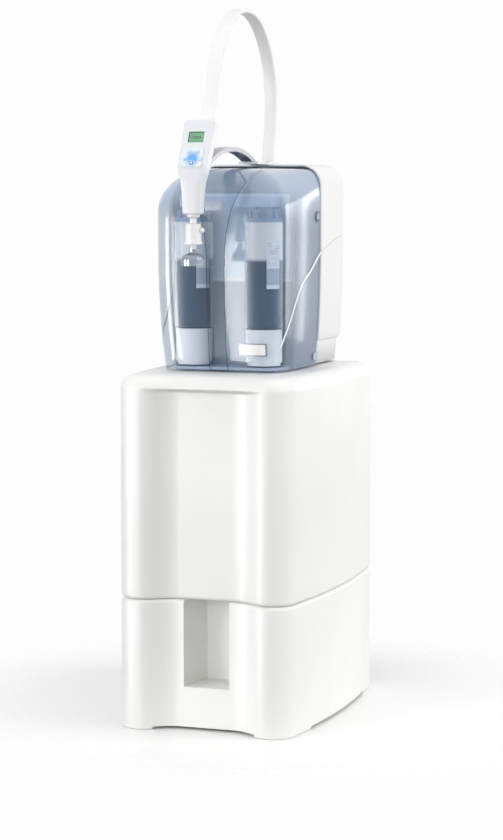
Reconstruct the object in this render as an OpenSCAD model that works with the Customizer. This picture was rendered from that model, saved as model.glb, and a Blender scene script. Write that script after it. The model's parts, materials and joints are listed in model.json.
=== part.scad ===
// Ultrapure water system: a bench unit behind a smoked see-through cover, which stands on a storage tank and
// its stand. A flat hose arches from the back of the unit to a hand-held dispenser in a holder at the front.
// Millimetres, +Z up. The front faces -Y. The origin is on the floor, in the middle of the part's footprint.

/* [Stand] */
// Height of the stand, from the floor to the face that the tank rests on
stand_h = 261; // [220:1:320]
// Length of the stand and the tank from front to back
body_d = 590; // [540:1:640]
// Width of the stand and the tank over their corners
body_w = 354; // [320:1:380]
// How far each side bows out at the middle
side_bow = 22; // [10:1:34]
// Radius of the upright corners
body_corner = 42; // [34:1:60]
// Depth of the hollow in the middle of the front face
front_dip = 33; // [20:1:40]
// Half the distance between the crests of the front face
front_crest = 128; // [115:1:130]
// Radius of the rounded edges along the seam of stand and tank
edge_round = 8; // [5:1:12]
// Wall of the moulded stand and tank
mould_wall = 6; // [4:0.5:8]
// Height of the corner feet
foot_h = 6; // [4:1:12]
// Length of each foot along the side
foot_l = 118; // [90:1:140]
// Length of each foot along the front
foot_w = 92; // [70:1:110]

/* [Niche] */
// Width of the niche at the front of the stand
niche_w = 96; // [80:1:110]
// Width of the niche at its back wall
niche_back_w = 66; // [50:1:78]
// Depth of the niche behind the front face
niche_d = 95; // [70:1:120]
// Height of the niche floor over the ground
niche_floor = 86; // [70:1:110]

/* [Tank] */
// Height of the tank body
tank_h = 445; // [400:1:500]
// Height of the lip over the front panel
header_h = 28; // [20:1:40]
// Radius of the tank's top edge
tank_round = 30; // [20:1:36]
// Depth of the connection step at the back
step_d = 50; // [40:1:60]
// Height of the connection step below the tank's top
step_h = 96; // [80:1:110]

/* [Hood] */
// Width of the hood over the connection step
hood_w = 300; // [240:1:310]
// Length of the hood from front to back
hood_d = 42; // [40:1:46]
// Wall of the hood
hood_t = 3; // [2:0.5:4]
// Height that the hood lifts before it is clear of the fittings
hood_travel = 55; // [40:1:80]

/* [Unit] */
// Width of the unit at its widest
unit_w = 268; // [250:1:290]
// Length of the unit from the crest of its cover to its back
unit_d = 456; // [430:1:480]
// Height of the unit's housing
unit_h = 412; // [390:1:430]
// Distance of the unit's front from the front of the tank
unit_setback = 80; // [70:1:92]
// Length of the cover from front to seam
cover_d = 268; // [255:1:280]
// Amount by which the unit narrows towards its foot, each side
unit_taper = 9; // [4:1:12]
// Amount by which the cover's front draws back towards its foot
front_taper = 20; // [10:1:26]
// Wall of the cover
cover_t = 3; // [2.5:0.5:4]
// Wall of the housing
housing_t = 4; // [3:0.5:5]
// Gap under the unit, which its feet fill
unit_gap = 4; // [3:0.5:6]
// Width of the channel between the lobes of the cover at its foot
channel_w = 40; // [34:1:50]
// Depth of that channel
channel_d = 20; // [12:1:24]
// Gap between cover and housing
seam_gap = 0.6; // [0.4:0.1:1]

/* [Cartridges] */
// Half the distance between the two cartridges
cart_x = 74; // [70:1:78]
// Distance of the cartridge axes behind the cover's front
cart_y = 85; // [80:1:90]
// Radius of a cartridge
cart_r = 38; // [34:0.5:40]
// Wall of a cartridge's clear tube
cart_wall = 2.5; // [2:0.5:4]
// Height of a cartridge's lower cup
cup_h = 72; // [60:1:80]
// Height of the resin filling
media_h = 139; // [120:1:160]
// Height of the clear chamber over the filling
chamber_h = 73; // [50:1:80]
// Height of the cartridge's head
head_h = 34; // [28:1:40]
// Thickness of the manifold that the cartridges twist into
manifold_h = 20; // [16:1:24]

/* [Dispenser] */
// Distance of the dispenser's bell in front of the stand
reach = 52; // [40:1:70]
// Height of the bell's rim over the top of the tank
bell_rise = 216; // [200:1:240]
// Length of the head with display and keys
head_l = 106; // [95:1:115]
// Length of the grip
grip_l = 80; // [70:1:95]
// Width of the head at its top
head_w = 64; // [56:1:68]
// Width of the head at its lower end
head_low_w = 59; // [50:1:62]
// Thickness of the head
head_t = 32; // [28:1:34]
// Width of the grip
grip_w = 39; // [32:1:42]
// Thickness of the grip
grip_t = 30; // [25:1:32]
// Backward tilt of the head
head_tilt = 27; // [20:1:32]
// Radius of the filling bell
bell_r = 24; // [20:0.5:26]
// Wall of the bell
bell_t = 1.5; // [1:0.5:3]
// Height of the bell's straight rim
bell_h = 18; // [16:1:24]
// Radius of the final filter
filter_r = 15.5; // [13:0.5:17]
// Travel of the dispensing key
key_travel = 1.2; // [0.8:0.1:1.5]

/* [Hose and holder] */
// Width of the flat hose
hose_w = 27; // [22:1:30]
// Thickness of the flat hose
hose_t = 8; // [6:1:10]
// Width of the holder's arm
arm_w = 24; // [20:1:28]
// Thickness of the holder's arm
arm_t = 9; // [7:1:11]
// Rise of the holder's arm between its ends
arm_rise = 34; // [26:1:42]

/* [Hidden] */
$fn = 48;
arc_steps = 6;      // points in each rounded corner of a plan
flat_steps = 14;    // points along each side of a plan
fit = 0.3;          // clearance round small sliding pieces
run = 0.05;         // running clearance of a turning piece

half_d = (body_d + reach) / 2;      // half the footprint, front to back
body_y = reach / 2;                 // middle of stand and tank
body_front = body_y - body_d / 2;
body_back = body_y + body_d / 2;
tank_z = stand_h;
tank_top = tank_z + tank_h;

unit_z = tank_top + unit_gap;
unit_front = body_front + unit_setback;
unit_back = unit_front + unit_d;
unit_top = tank_top + unit_h;
seam_y = unit_front + cover_d;
cover_top = unit_top - 9;
half_unit = unit_w / 2;
bell_z = tank_top + bell_rise;

cart_ax = unit_front + cart_y;      // the cartridges' axes
floor_t = 5;
cup_z = unit_z + floor_t + 4;
media_z = cup_z + cup_h;
chamber_z = media_z + media_h;
cap_z = chamber_z + chamber_h;
manifold_z = cap_z + head_h - 6;
chassis_y = cart_ax + cart_r + 10;  // front face of the upright chassis
chassis_t = 4;

disp_x = -2.5;                      // the dispenser hangs a little to the left of the middle
disp_y = -half_d + bell_r;          // upright axis of the dispenser
capsule_z = bell_z + 48;            // foot of the final filter's body
collar_z = capsule_z + 40;
grip_z = collar_z + 10;
head_y = disp_y;
head_z = grip_z + grip_l;

key_r = 4;
main_key_r = 6.4;

// Route of the flat hose from its socket on the housing, as steps from there, to the dispenser's head
hose_start = [0, seam_y + 56, unit_top - 4];
hose_steps = [[0, 0, 0], [0, 6, 26], [0, 12, 54], [0, 17, 84], [0, 20, 114], [0, 19, 144], [0, 14, 175],
    [0, 4, 204], [0, -11, 231], [0, -31, 256], [0, -55, 277], [0, -83, 294], [0, -115, 305],
    [0, -149, 309], [0, -183, 307], [0, -215, 298], [0, -245, 283], [0, -272, 263], [1, -295, 239],
    [2, -314, 212], [3, -329, 184], [4, -342, 155], [5, -354, 126], [5, -367, 98], [4, -377, 77]];
hose_route = [for (p = hose_steps) hose_start + p];

// ---- helpers ------------------------------------------------------------------------------------------------

function middle(ring) = [for (k = [0:2]) let (v = [for (p = ring) p[k]]) (min(v) + max(v)) / 2];

// Triangles between ring a and ring b of n points, as indices into one list of points
function band(a, b, n) = [for (i = [0:n - 1]) let (j = (i + 1) % n)
    each [[a * n + i, b * n + i, b * n + j], [a * n + i, b * n + j, a * n + j]]];

// A solid through closed rings of equally many points, each listed anticlockwise as seen from the last ring
module loft(rings) {
    n = len(rings[0]);
    m = len(rings);
    low = n * m;
    high = low + 1;
    polyhedron(
        points = concat([for (r = rings) each r], [middle(rings[0]), middle(rings[m - 1])]),
        faces = concat(
            [for (i = [0:n - 1]) [low, i, (i + 1) % n]],
            [for (k = [0:m - 2]) each band(k, k + 1, n)],
            [for (i = [0:n - 1]) [high, (m - 1) * n + (i + 1) % n, (m - 1) * n + i]]));
}

function at_z(plan, z) = [for (p = plan) [p[0], p[1], z]];
function arc(cx, cy, r, from) = [for (i = [0:arc_steps - 1]) let (a = from + 90 * i / arc_steps)
    [cx + r * cos(a), cy + r * sin(a)]];
function line(a, b, n) = [for (i = [0:n - 1]) a + (b - a) * i / n];

// Rounded rectangle with points along its sides, anticlockwise from the left end of its front
function round_rect(hw, hd, r) = concat(
    line([r - hw, -hd], [hw - r, -hd], flat_steps), arc(hw - r, r - hd, r, -90),
    line([hw, r - hd], [hw, hd - r], flat_steps), arc(hw - r, hd - r, r, 0),
    line([hw - r, hd], [r - hw, hd], flat_steps), arc(r - hw, hd - r, r, 90),
    line([-hw, hd - r], [-hw, r - hd], flat_steps), arc(r - hw, r - hd, r, 180));

// Share of the front hollow at a distance x from the middle: 1 in the middle, 0 from the crest outwards
function hollow(x) = pow(sin(90 * max(0, min(1, (front_crest - abs(x)) / 72))), 1.4);

// Plan of stand and tank, drawn in by an inset: bowed sides and a hollow between two crests at the front
function body_plan(inset, dip = front_dip) = let (hw = body_w / 2 - inset, hd = body_d / 2 - inset)
    [for (p = round_rect(hw, hd, max(body_corner - inset, 4)))
        let (bow = side_bow * cos(90 * p[1] / hd) * p[0] / hw)
        [p[0] + bow, body_y + p[1] + (p[1] < 0 ? dip * hollow(p[0] + bow) * pow(-p[1] / hd, 3) : 0)]];

// Rings that round the edge of a body from its side (lean 0) to its end face (lean 90)
function rounded(z, r, steps, up) = [for (i = [0:steps])
    let (a = up ? 90 * i / steps : 90 - 90 * i / steps) [z + (up ? 1 : -1) * r * (sin(a) - 1), r * (1 - cos(a))]];

module tube_z(r_out, r_in, h) {
    difference() {
        cylinder(r = r_out, h = h);
        translate([0, 0, -1]) cylinder(r = r_in, h = h + 2);
    }
}

module mirrored() {
    children();
    mirror([1, 0, 0]) children();
}

// ---- stand --------------------------------------------------------------------------------------------------

// Room taken out between the feet, so that the stand rests on its four corners
module foot_gaps() {
    long = 2 * body_d;
    translate([-(body_w / 2 + side_bow - foot_w), body_y - long / 2, -1])
        cube([body_w + 2 * side_bow - 2 * foot_w, long, foot_h + 1]);
    translate([-body_w, body_y - body_d / 2 + foot_l, -1])
        cube([2 * body_w, body_d - 2 * foot_l, foot_h + 1]);
}

module niche_plan(grow) {
    front = body_front - 40;
    back = body_front + front_dip + niche_d + grow;
    polygon([[-niche_w / 2 - grow, front], [niche_w / 2 + grow, front],
        [niche_w / 2 + grow, body_front + front_dip], [niche_back_w / 2 + grow, back],
        [-niche_back_w / 2 - grow, back], [-niche_w / 2 - grow, body_front + front_dip]]);
}

module stand() {
    edges = concat([for (e = rounded(0, 4, 2, false)) e], [for (e = rounded(stand_h, edge_round, 3, true)) e]);
    color("white") difference() {
        loft([for (e = edges) at_z(body_plan(e[1]), e[0])]);
        foot_gaps();
        // the closed hollow of the moulding, with the niche's own walls left standing in it
        difference() {
            translate([0, 0, foot_h + mould_wall]) linear_extrude(stand_h - foot_h - 2 * mould_wall)
                polygon(body_plan(mould_wall));
            translate([0, 0, niche_floor - mould_wall]) linear_extrude(stand_h) niche_plan(mould_wall);
        }
        translate([0, 0, niche_floor]) linear_extrude(stand_h) niche_plan(0);
    }
}

// ---- tank ---------------------------------------------------------------------------------------------------

step_y = body_back - step_d;        // upright face of the connection step
step_z = tank_top - step_h;         // its floor
lap_d = 10;         // how far the hood's lap lies on the tank's top
lap_h = 9;          // how deep the lap's seat is
port_x = 80;
port_r = 8;
port_y = step_y + 20;

module tank() {
    lip_z = tank_top - header_h;
    seam_edges = rounded(tank_z, edge_round, 3, false);
    top_edges = rounded(tank_top, tank_round, 5, true);
    rings = concat([for (e = seam_edges) at_z(body_plan(e[1]), e[0])],
        [at_z(body_plan(0), lip_z - tank_round - 6), at_z(body_plan(0, front_dip * 0.9), lip_z - 8)],
        [for (e = top_edges) if (e[0] > lip_z - 1) at_z(body_plan(e[1], front_dip * 0.3), e[0])]);
    low_room = tank_h - step_h - 2 * mould_wall;
    color("white") difference() {
        loft(rings);
        // the step for the connections at the back
        translate([-body_w, step_y, step_z]) cube([2 * body_w, body_d, step_h + 1]);
        // the shallow seat of the hood's lap
        translate([-body_w, step_y - lap_d - 24, tank_top - lap_h]) cube([2 * body_w, body_d, lap_h + 1]);
        // the room for the water, below the step and in front of it
        translate([0, 0, tank_z + mould_wall]) linear_extrude(low_room) polygon(body_plan(mould_wall));
        translate([0, 0, step_z - mould_wall - 1])
            linear_extrude(step_h - tank_round + 3) intersection() {
                polygon(body_plan(mould_wall));
                translate([-body_w, body_front]) square([2 * body_w, body_d - step_d - mould_wall]);
            }
        // holes in the step for the vent, the level probe and the outlet
        for (x = [-port_x, 0, port_x])
            translate([x, port_y, step_z - mould_wall - 2]) cylinder(r = port_r + run, h = mould_wall + 3);
    }
}

// Hood over the connections: it stands on the step and laps over the tank's top edge
module connection_hood() {
    h = step_h - lap_h + 0.3;
    color("white") difference() {
        union() {
            translate([-hood_w / 2, step_y + fit, step_z]) linear_extrude(h + hood_t)
                polygon([[0, 0], [hood_w, 0], [hood_w, hood_d - 8], [hood_w - 8, hood_d], [8, hood_d], [0, hood_d - 8]]);
            translate([-hood_w / 2, step_y - lap_d, step_z + h]) cube([hood_w, lap_d + 1, hood_t]);
        }
        translate([hood_t - hood_w / 2, step_y + fit + 0.5 - hood_t, step_z - 1])
            cube([hood_w - 2 * hood_t, hood_d - 0.5, h + 1]);
        // slot that lets the outlet out of the back
        translate([port_x - 9, step_y + hood_d - 10, step_z - 1]) cube([18, 20, 34]);
    }
}

// Rod with a float, which hangs from the step into the tank
module level_probe() {
    color("silver") translate([0, port_y, 0]) {
        translate([0, 0, tank_z + 30]) cylinder(r = 4, h = step_z - tank_z - 30 - mould_wall);
        translate([0, 0, tank_z + 150]) tube_z(18, 4.4, 40);
        translate([0, 0, step_z - mould_wall]) cylinder(r = port_r, h = mould_wall + 1);
        translate([0, 0, step_z + 0.1]) cylinder(r = 14, h = 16);
    }
}

// Vent of the tank: the tallest fitting, which the lifted hood has to clear
module vent_filter() {
    lid_z = hood_travel - 9;
    color("ghostwhite") translate([-port_x, port_y, step_z]) {
        translate([0, 0, -mould_wall]) cylinder(r = port_r, h = mould_wall + 1);
        translate([0, 0, 0.1]) cylinder(r = 12, h = 6);
        translate([0, 0, 6]) cylinder(r = 16, h = lid_z - 6);
        translate([0, 0, lid_z]) cylinder(r = 17, h = 5);
    }
}

module tank_outlet() {
    color("lightgray") translate([port_x, port_y, step_z]) difference() {
        union() {
            translate([0, 0, -mould_wall]) cylinder(r = port_r, h = mould_wall + 1);
            translate([0, 0, 0.1]) cylinder(r = 13, h = 8);
            translate([0, 0, 8]) cylinder(r = 8, h = 12);
            translate([0, 0, 20]) sphere(r = 8);
            translate([0, 0, 20]) rotate([-90, 0, 0]) cylinder(r = 6.5, h = 26);
        }
        translate([0, 0, 20]) rotate([-90, 0, 0]) cylinder(r = 4, h = 30);
        translate([0, 0, -mould_wall - 1]) cylinder(r = 4, h = mould_wall + 21);
    }
}

// ---- unit: shapes shared by cover and housing ---------------------------------------------------------------

unit_corner = 50;
rear_corner = 40;

// Share of the height of the unit, and the amounts by which its plan draws in there
function lean(z) = pow(max(0, 1 - (z - tank_top) / 240), 2);
function side_in(z) = unit_taper * lean(z);

// Half width of the channel between the lobes at a height: it widens towards the top
function channel_at(z) = channel_w / 2 + 11 * (z - unit_z) / unit_h
    + 60 * pow(max(0, (z - unit_top + 100) / 100), 2.4);
function channel_depth(z) = channel_d * (1 - pow(max(0, min(1, (z - unit_top + 110) / 100)), 1.5));

// Half width and front of the cover at a height, and where its lobe lies at a distance x from the middle
function cover_hw(z) = half_unit - side_in(z);
function cover_front(z) = unit_front + front_taper * lean(z);
lobe_crown = 4;
function lobe_face(x, z) = let (e = cover_hw(z) - unit_corner, u = (e - x) / (e - channel_at(z) - 3))
    cover_front(z) + (x < e ? lobe_crown * u * u : unit_corner - sqrt(pow(unit_corner, 2) - pow(x - e, 2)));

// Plan of the cover: from the left end of the seam round the front to its right end. The inset t gives the inner
// face. side and front are what the rounding of the top edge takes off.
function cover_plan(z, t, side, front) = let (
        hs = half_unit - side_in(z) - t - side,
        hw = half_unit - side_in(z) - t - max(front, side),
        f = unit_front + front_taper * lean(z) + t + front,
        s = seam_y - seam_gap,
        r = max(unit_corner - t - 0.3 * side, 12),
        c = min(channel_at(z), hw - r - 8),
        d = channel_depth(z),
        side_n = 6, lobe_n = 5)
    concat(line([-hs, s], [-hw, f + r], side_n), arc(r - hw, f + r, r, 180),
        [for (i = [0:lobe_n - 1]) let (u = i / lobe_n, x = (r - hw) + (hw - r - c - 3) * u)
            [x, f + lobe_crown * pow(u, 2)]],
        [[-c - 3, f + lobe_crown], [-c, f + d], [-c / 2, f + d + 1], [0, f + d + 1.5], [c / 2, f + d + 1], [c, f + d]],
        [for (i = [0:lobe_n - 1]) let (u = 1 - i / lobe_n, x = (hw - r) - (hw - r - c - 3) * u)
            [x, f + lobe_crown * pow(u, 2)]],
        arc(hw - r, f + r, r, -90), line([hw, f + r], [hs, s], side_n), [[hs, s]]);

// Heights of the cover's rings with what its rounded top edge takes off the sides and the front
top_side = 34;
top_front = 86;
cover_levels = concat(
    [for (h = [0, 8, 40, 90, 160, 240]) [unit_z + h, 0, 0]],
    [for (a = [0:12:84]) [cover_top - top_front * (1 - sin(a)),
        top_side * pow(1 - cos(a), 1.6), top_front * (1 - cos(a))]]);

// Shell between an outer and an inner half dome, each a list of rings that end at the seam, closed by flat roofs
module half_dome(outer, inner, roof_out, roof_in) {
    n = len(outer[0]);
    m = len(outer);
    o = function (k, i) k * n + i;
    q = function (k, i) (m + k) * n + i;
    co = 2 * m * n;
    ci = co + 1;
    polyhedron(
        points = concat([for (r = outer) each r], [for (r = inner) each r], [roof_out, roof_in]),
        faces = concat(
            [for (k = [0:m - 2], i = [0:n - 2]) each
                [[o(k, i), o(k + 1, i), o(k + 1, i + 1)], [o(k, i), o(k + 1, i + 1), o(k, i + 1)],
                 [q(k, i), q(k + 1, i + 1), q(k + 1, i)], [q(k, i), q(k, i + 1), q(k + 1, i + 1)]]],
            [for (i = [0:n - 2]) each [[o(0, i), o(0, i + 1), q(0, i + 1)], [o(0, i), q(0, i + 1), q(0, i)],
                [co, o(m - 1, i + 1), o(m - 1, i)], [ci, q(m - 1, i), q(m - 1, i + 1)]]],
            [for (k = [0:m - 2]) each
                [[o(k, 0), q(k, 0), q(k + 1, 0)], [o(k, 0), q(k + 1, 0), o(k + 1, 0)],
                 [o(k, n - 1), o(k + 1, n - 1), q(k + 1, n - 1)], [o(k, n - 1), q(k + 1, n - 1), q(k, n - 1)]]],
            [[o(m - 1, 0), q(m - 1, 0), ci], [o(m - 1, 0), ci, co],
             [o(m - 1, n - 1), ci, q(m - 1, n - 1)], [o(m - 1, n - 1), co, ci]]));
}

module cover() {
    t = cover_t;
    outer = [for (l = cover_levels) at_z(cover_plan(l[0], 0, l[1], l[2]), l[0])];
    inner = [for (l = cover_levels) let (z = l[0] > unit_z + 1 ? l[0] - t * pow(l[2] / top_front, 0.5) : l[0])
        at_z(cover_plan(l[0], t, l[1], l[2]), z)];
    m = len(outer) - 1;
    color([0.45, 0.55, 0.72, 0.5]) difference() {
        half_dome(outer, inner, [0, seam_y - seam_gap, outer[m][0][2]], [0, seam_y - seam_gap, inner[m][0][2]]);
        translate([-half_unit - 5, latch_y, latch_z]) rotate([0, 90, 0])
            cylinder(r = latch_shaft_r + run, h = unit_w + 10);
    }
}

// Plan of the housing, from the right end of the seam round the back to its left end
function housing_plan(z, t, side, back) = let (
        hw = half_unit - side_in(z) - t - side,
        b = unit_back - t - back - 8 * lean(z),
        r = max(rear_corner - t - 0.3 * side, 10),
        n = 7)
    concat(line([hw, seam_y], [hw, b - r], n), arc(hw - r, b - r, r, 0),
        line([hw - r, b], [r - hw, b], n), arc(r - hw, b - r, r, 90), line([-hw, b - r], [-hw, seam_y], n),
        [[-hw, seam_y]]);

top_rear = 42;
plinth_h = 46;
plinth_in = 6;      // how far the housing's foot is set back
housing_levels = concat(
    [[unit_z, plinth_in], [unit_z + plinth_h, plinth_in], [unit_z + plinth_h + 4, 0], [unit_z + 100, 0], [unit_z + 160, 0],
        [unit_z + 240, 0]],
    [for (a = [0:15:90]) [unit_top - top_rear * (1 - sin(a)), top_rear * (1 - cos(a))]]);

module housing() {
    t = housing_t;
    outer = [for (l = housing_levels) at_z(housing_plan(l[0], 0, l[1], l[1]), l[0])];
    inner = [for (l = housing_levels) let (round = l[0] > unit_z + 241)
        at_z(housing_plan(l[0], t, l[1], l[1]), round ? l[0] - t * l[1] / top_rear : l[0])];
    m = len(outer) - 1;
    color("white") difference() {
        half_dome(outer, inner, [0, seam_y, outer[m][0][2]], [0, seam_y, inner[m][0][2]]);
        // hole for the hose socket
        translate([0, hose_route[0][1], unit_top - housing_t - 1]) cylinder(r = socket_r + run, h = 8);
        // holes in the back for the water ports, the mains inlet and the switch
        for (x = water_port_x) translate([x, unit_back - 30, ports_z]) rotate([-90, 0, 0])
            cylinder(r = water_port_r + run, h = 60);
        translate([inlet_x - inlet_w / 2 - fit, unit_back - 30, ports_z - inlet_h / 2 - fit])
            cube([inlet_w + 2 * fit, 60, inlet_h + 2 * fit]);
        translate([switch_x - switch_w / 2 - fit, unit_back - 30, ports_z - switch_h / 2 - fit])
            cube([switch_w + 2 * fit, 60, switch_h + 2 * fit]);
    }
}

// ---- unit: inside -------------------------------------------------------------------------------------------

module unit_floor() {
    hw = half_unit - side_in(unit_z) - plinth_in - housing_t - fit;
    y0 = unit_front + front_taper + channel_d + cover_t + 8;
    y1 = unit_back - 8 * lean(unit_z) - plinth_in - housing_t - fit;
    color("gainsboro") translate([0, (y0 + y1) / 2, unit_z + 0.3]) linear_extrude(floor_t)
        polygon(round_rect(hw, (y1 - y0) / 2, 34));
}

module unit_feet() {
    color("dimgray") for (x = [-1, 1], y = [unit_front + 80, unit_back - 70])
        translate([x * (half_unit - 50), y, tank_top]) cylinder(r = 14, h = unit_gap + 0.3);
}

module chassis() {
    hw = half_unit - 22;
    top = manifold_z + manifold_h + 8;
    color("lightslategray") {
        difference() {
            translate([-hw, chassis_y, unit_z + floor_t + 0.3])
                cube([2 * hw, chassis_t, top - unit_z - floor_t - 0.3]);
            for (x = [-40, 40]) translate([x, chassis_y - 1, manifold_z + 10]) rotate([-90, 0, 0])
                cylinder(r = 6, h = chassis_t + 2);
        }
        // foot flange and two side returns that stiffen the sheet
        translate([-hw, chassis_y + chassis_t, unit_z + floor_t + 0.3]) cube([2 * hw, 30, chassis_t]);
        for (x = [-hw, hw - chassis_t])
            translate([x, chassis_y + chassis_t, unit_z + floor_t + 0.3 + chassis_t])
                cube([chassis_t, 30, top - unit_z - floor_t - 0.3 - chassis_t]);
        // rib across the channel
        translate([-30, chassis_y - 3, unit_z + 175]) cube([60, 3, 4]);
    }
}

latch_z = tank_top + 306;
latch_y = seam_y - 24;
latch_r = 11;
latch_shaft_r = 3;

// Quarter-turn latch: a slotted rosette outside, a shaft through the cover and a cam behind the housing's edge
module latch_shape() {
    translate([half_unit, latch_y, latch_z]) rotate([0, 90, 0]) {
        difference() {
            union() {
                translate([0, 0, 0.3]) cylinder(r = latch_r, h = 2.2);
                for (a = [0:45:315]) rotate(a) translate([latch_r - 1.5, 0, 0.3]) cylinder(r = 2, h = 3, $fn = 24);
            }
            translate([-latch_r, -1, 1.4]) cube([2 * latch_r, 2, 3]);
        }
        translate([0, 0, -cover_t - 4]) cylinder(r = latch_shaft_r, h = cover_t + 4.6);
        translate([-4, -4, -cover_t - 5]) cube([8, 36, 2.5]);
    }
}

module latch_left() {
    color("silver") mirror([1, 0, 0]) latch_shape();
}

module latch_right() {
    color("silver") latch_shape();
}

module at_cart(side) {
    translate([side * cart_x, cart_ax, 0]) children();
}

// Clear tube of a cartridge, from its cup to its head
module cart_tube() {
    translate([0, 0, media_z]) difference() {
        cylinder(r = cart_r, h = media_h + chamber_h);
        translate([0, 0, 3]) cylinder(r = cart_r - cart_wall, h = media_h + chamber_h);
    }
}

module cart_resin() {
    translate([0, 0, media_z + 3.2]) cylinder(r = cart_r - cart_wall - 0.3, h = media_h - 3.2);
}

module cart_cup() {
    translate([0, 0, cup_z]) {
        cylinder(r = cart_r - 5, h = 6);
        translate([0, 0, 6]) cylinder(r = cart_r - 1.5, h = cup_h - 6);
    }
}

module cart_cap() {
    translate([0, 0, cap_z]) {
        cylinder(r = cart_r - 1, h = 9);
        translate([0, 0, 9]) cylinder(r = cart_r - 6, h = head_h - 19);
        for (a = [0:30:330]) rotate(a) translate([cart_r - 9, -1.5, 8]) cube([7, 3, head_h - 20]);
        translate([0, 0, head_h - 10]) cylinder(r = 16, h = 12);
    }
}

// Printed label, a curved sheet round part of the tube
module cart_label() {
    translate([0, 0, media_z + 81]) rotate_extrude(angle = 45, start = -63)
        translate([cart_r + 0.05, 0]) square([0.5, 91]);
}

module cartridge_left() { color([0.85, 0.92, 0.96, 0.4]) at_cart(-1) cart_tube(); }
module cartridge_right() { color([0.85, 0.92, 0.96, 0.4]) at_cart(1) cart_tube(); }
module resin_left() { color("midnightblue") at_cart(-1) cart_resin(); }
module resin_right() { color("midnightblue") at_cart(1) cart_resin(); }
module cup_left() { color("aliceblue") at_cart(-1) cart_cup(); }
module cup_right() { color("aliceblue") at_cart(1) cart_cup(); }
module cap_left() { color("slategray") at_cart(-1) cart_cap(); }
module cap_right() { color("slategray") at_cart(1) cart_cap(); }
module label_left() { color("white") at_cart(-1) cart_label(); }
module label_right() { color("white") at_cart(1) cart_label(); }

// Block over both cartridges with a socket for each head, held on the chassis
module manifold() {
    w = 2 * cart_x + 44;
    color("slategray") difference() {
        translate([-w / 2, cart_ax - 22, manifold_z + 2]) cube([w, chassis_y - cart_ax + 22, manifold_h]);
        for (x = [-cart_x, cart_x]) translate([x, cart_ax, manifold_z + 1])
            cylinder(r = 16 + run, h = 11);
    }
}

inner_z = unit_z + floor_t + 0.6;
reactor_at = [-half_unit + 62, chassis_y + 74];
reactor_top = inner_z + 288;
pump_at = [half_unit - 74, chassis_y + 84];
pump_stub = 36;
pump_top = inner_z + 74;

module uv_reactor() {
    color("silver") translate([reactor_at[0], reactor_at[1], inner_z]) {
        cylinder(r = 22, h = 4);
        translate([0, 0, 4]) cylinder(r = 18, h = 270);
        translate([0, 0, 274]) cylinder(r = 22, h = 14);
    }
}

module pump() {
    color("dimgray") translate([pump_at[0], pump_at[1], inner_z]) {
        translate([-32, -38, 0]) cube([64, 76, 5]);
        translate([0, -36, 37]) rotate([-90, 0, 0]) cylinder(r = 30, h = 60);
        translate([-14, -30, 5]) cube([28, 50, 6]);
        translate([0, 24, 37]) rotate([-90, 0, 0]) cylinder(r = 24, h = 22);
        translate([0, pump_stub, 58]) cylinder(r = 6, h = 16);
    }
}

module power_supply() {
    color("gainsboro") difference() {
        translate([20, chassis_y + chassis_t, unit_z + 128]) cube([84, 42, 118]);
        for (i = [0:5]) translate([30, chassis_y + chassis_t + 30, unit_z + 140 + 16 * i]) cube([64, 13, 6]);
    }
}

module controller_board() {
    color("darkgreen") {
        translate([-20, chassis_y + chassis_t + 8, unit_z + 250]) cube([112, 1.6, 64]);
        for (x = [-14, 86], z = [256, 308]) translate([x, chassis_y + chassis_t, unit_z + z])
            rotate([-90, 0, 0]) cylinder(r = 2.5, h = 8, $fn = 24);
        translate([10, chassis_y + chassis_t + 9.6, unit_z + 268]) cube([30, 4, 30]);
        translate([56, chassis_y + chassis_t + 9.6, unit_z + 264]) cube([22, 12, 12]);
    }
}

module valve_block() {
    color("whitesmoke") translate([-35, cart_ax - 40, manifold_z - 4]) cube([30, 18, 18]);
}

// Ring of a round tube across a path
function across(dir) = let (d = dir / norm(dir), side = norm(cross(d, [1, 0, 0])) > 0.3 ? [1, 0, 0] : [0, 1, 0],
    b = cross(d, side)) [b / norm(b), cross(b, d) / norm(cross(b, d))];
function path_dir(p, i) = p[min(i + 1, len(p) - 1)] - p[max(i - 1, 0)];

module round_tube(path, r, sides) {
    rings = [for (i = [0:len(path) - 1]) let (f = across(path_dir(path, i)))
        [for (k = [0:sides - 1]) path[i] + r * (cos(360 * k / sides) * f[1] + sin(360 * k / sides) * f[0])]];
    loft(rings);
}

// Water tubes from the manifold to the reactor and to the pump
module inner_tubes() {
    z = manifold_z + 10;
    y = chassis_y;
    r = reactor_at;
    p = pump_at + [0, pump_stub];
    left = [[-40, y, z], [-40, y + 18, z], [-46, y + 40, z - 3], [r[0] + 14, r[1] - 14, z - 11],
        [r[0] + 5, r[1] - 6, z - 18], [r[0], r[1], reactor_top + 10], [r[0], r[1], reactor_top + 0.3]];
    right = [[40, y, z], [40, y + 16, z], [42, y + 36, z - 11], [50, y + 76, z - 51],
        [p[0] - 1, p[1] - 14, pump_top + 140], [p[0], p[1] - 2, pump_top + 80], [p[0], p[1], pump_top + 30],
        [p[0], p[1], pump_top + 0.3]];
    color("azure") for (path = [left, right]) round_tube(path, 3.2, 8);
}

// ---- unit: outside ------------------------------------------------------------------------------------------

socket_r = hose_w / 2 + 4;

module hose_socket() {
    p = hose_route[0];
    color("white") translate([0, p[1], 0]) difference() {
        union() {
            translate([0, 0, unit_top - housing_t - 6]) cylinder(r = socket_r, h = housing_t + 7);
            translate([0, 0, unit_top + 0.1]) cylinder(r1 = socket_r + 4, r2 = socket_r + 2, h = 5);
            translate([0, 0, unit_top - housing_t - 6]) cylinder(r = socket_r + 3, h = 5);
        }
        translate([-hose_w / 2 - 0.1, -hose_t / 2 - 2.1, unit_top - 4]) cube([hose_w + 0.2, hose_t + 4.2, 20]);
    }
}

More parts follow.
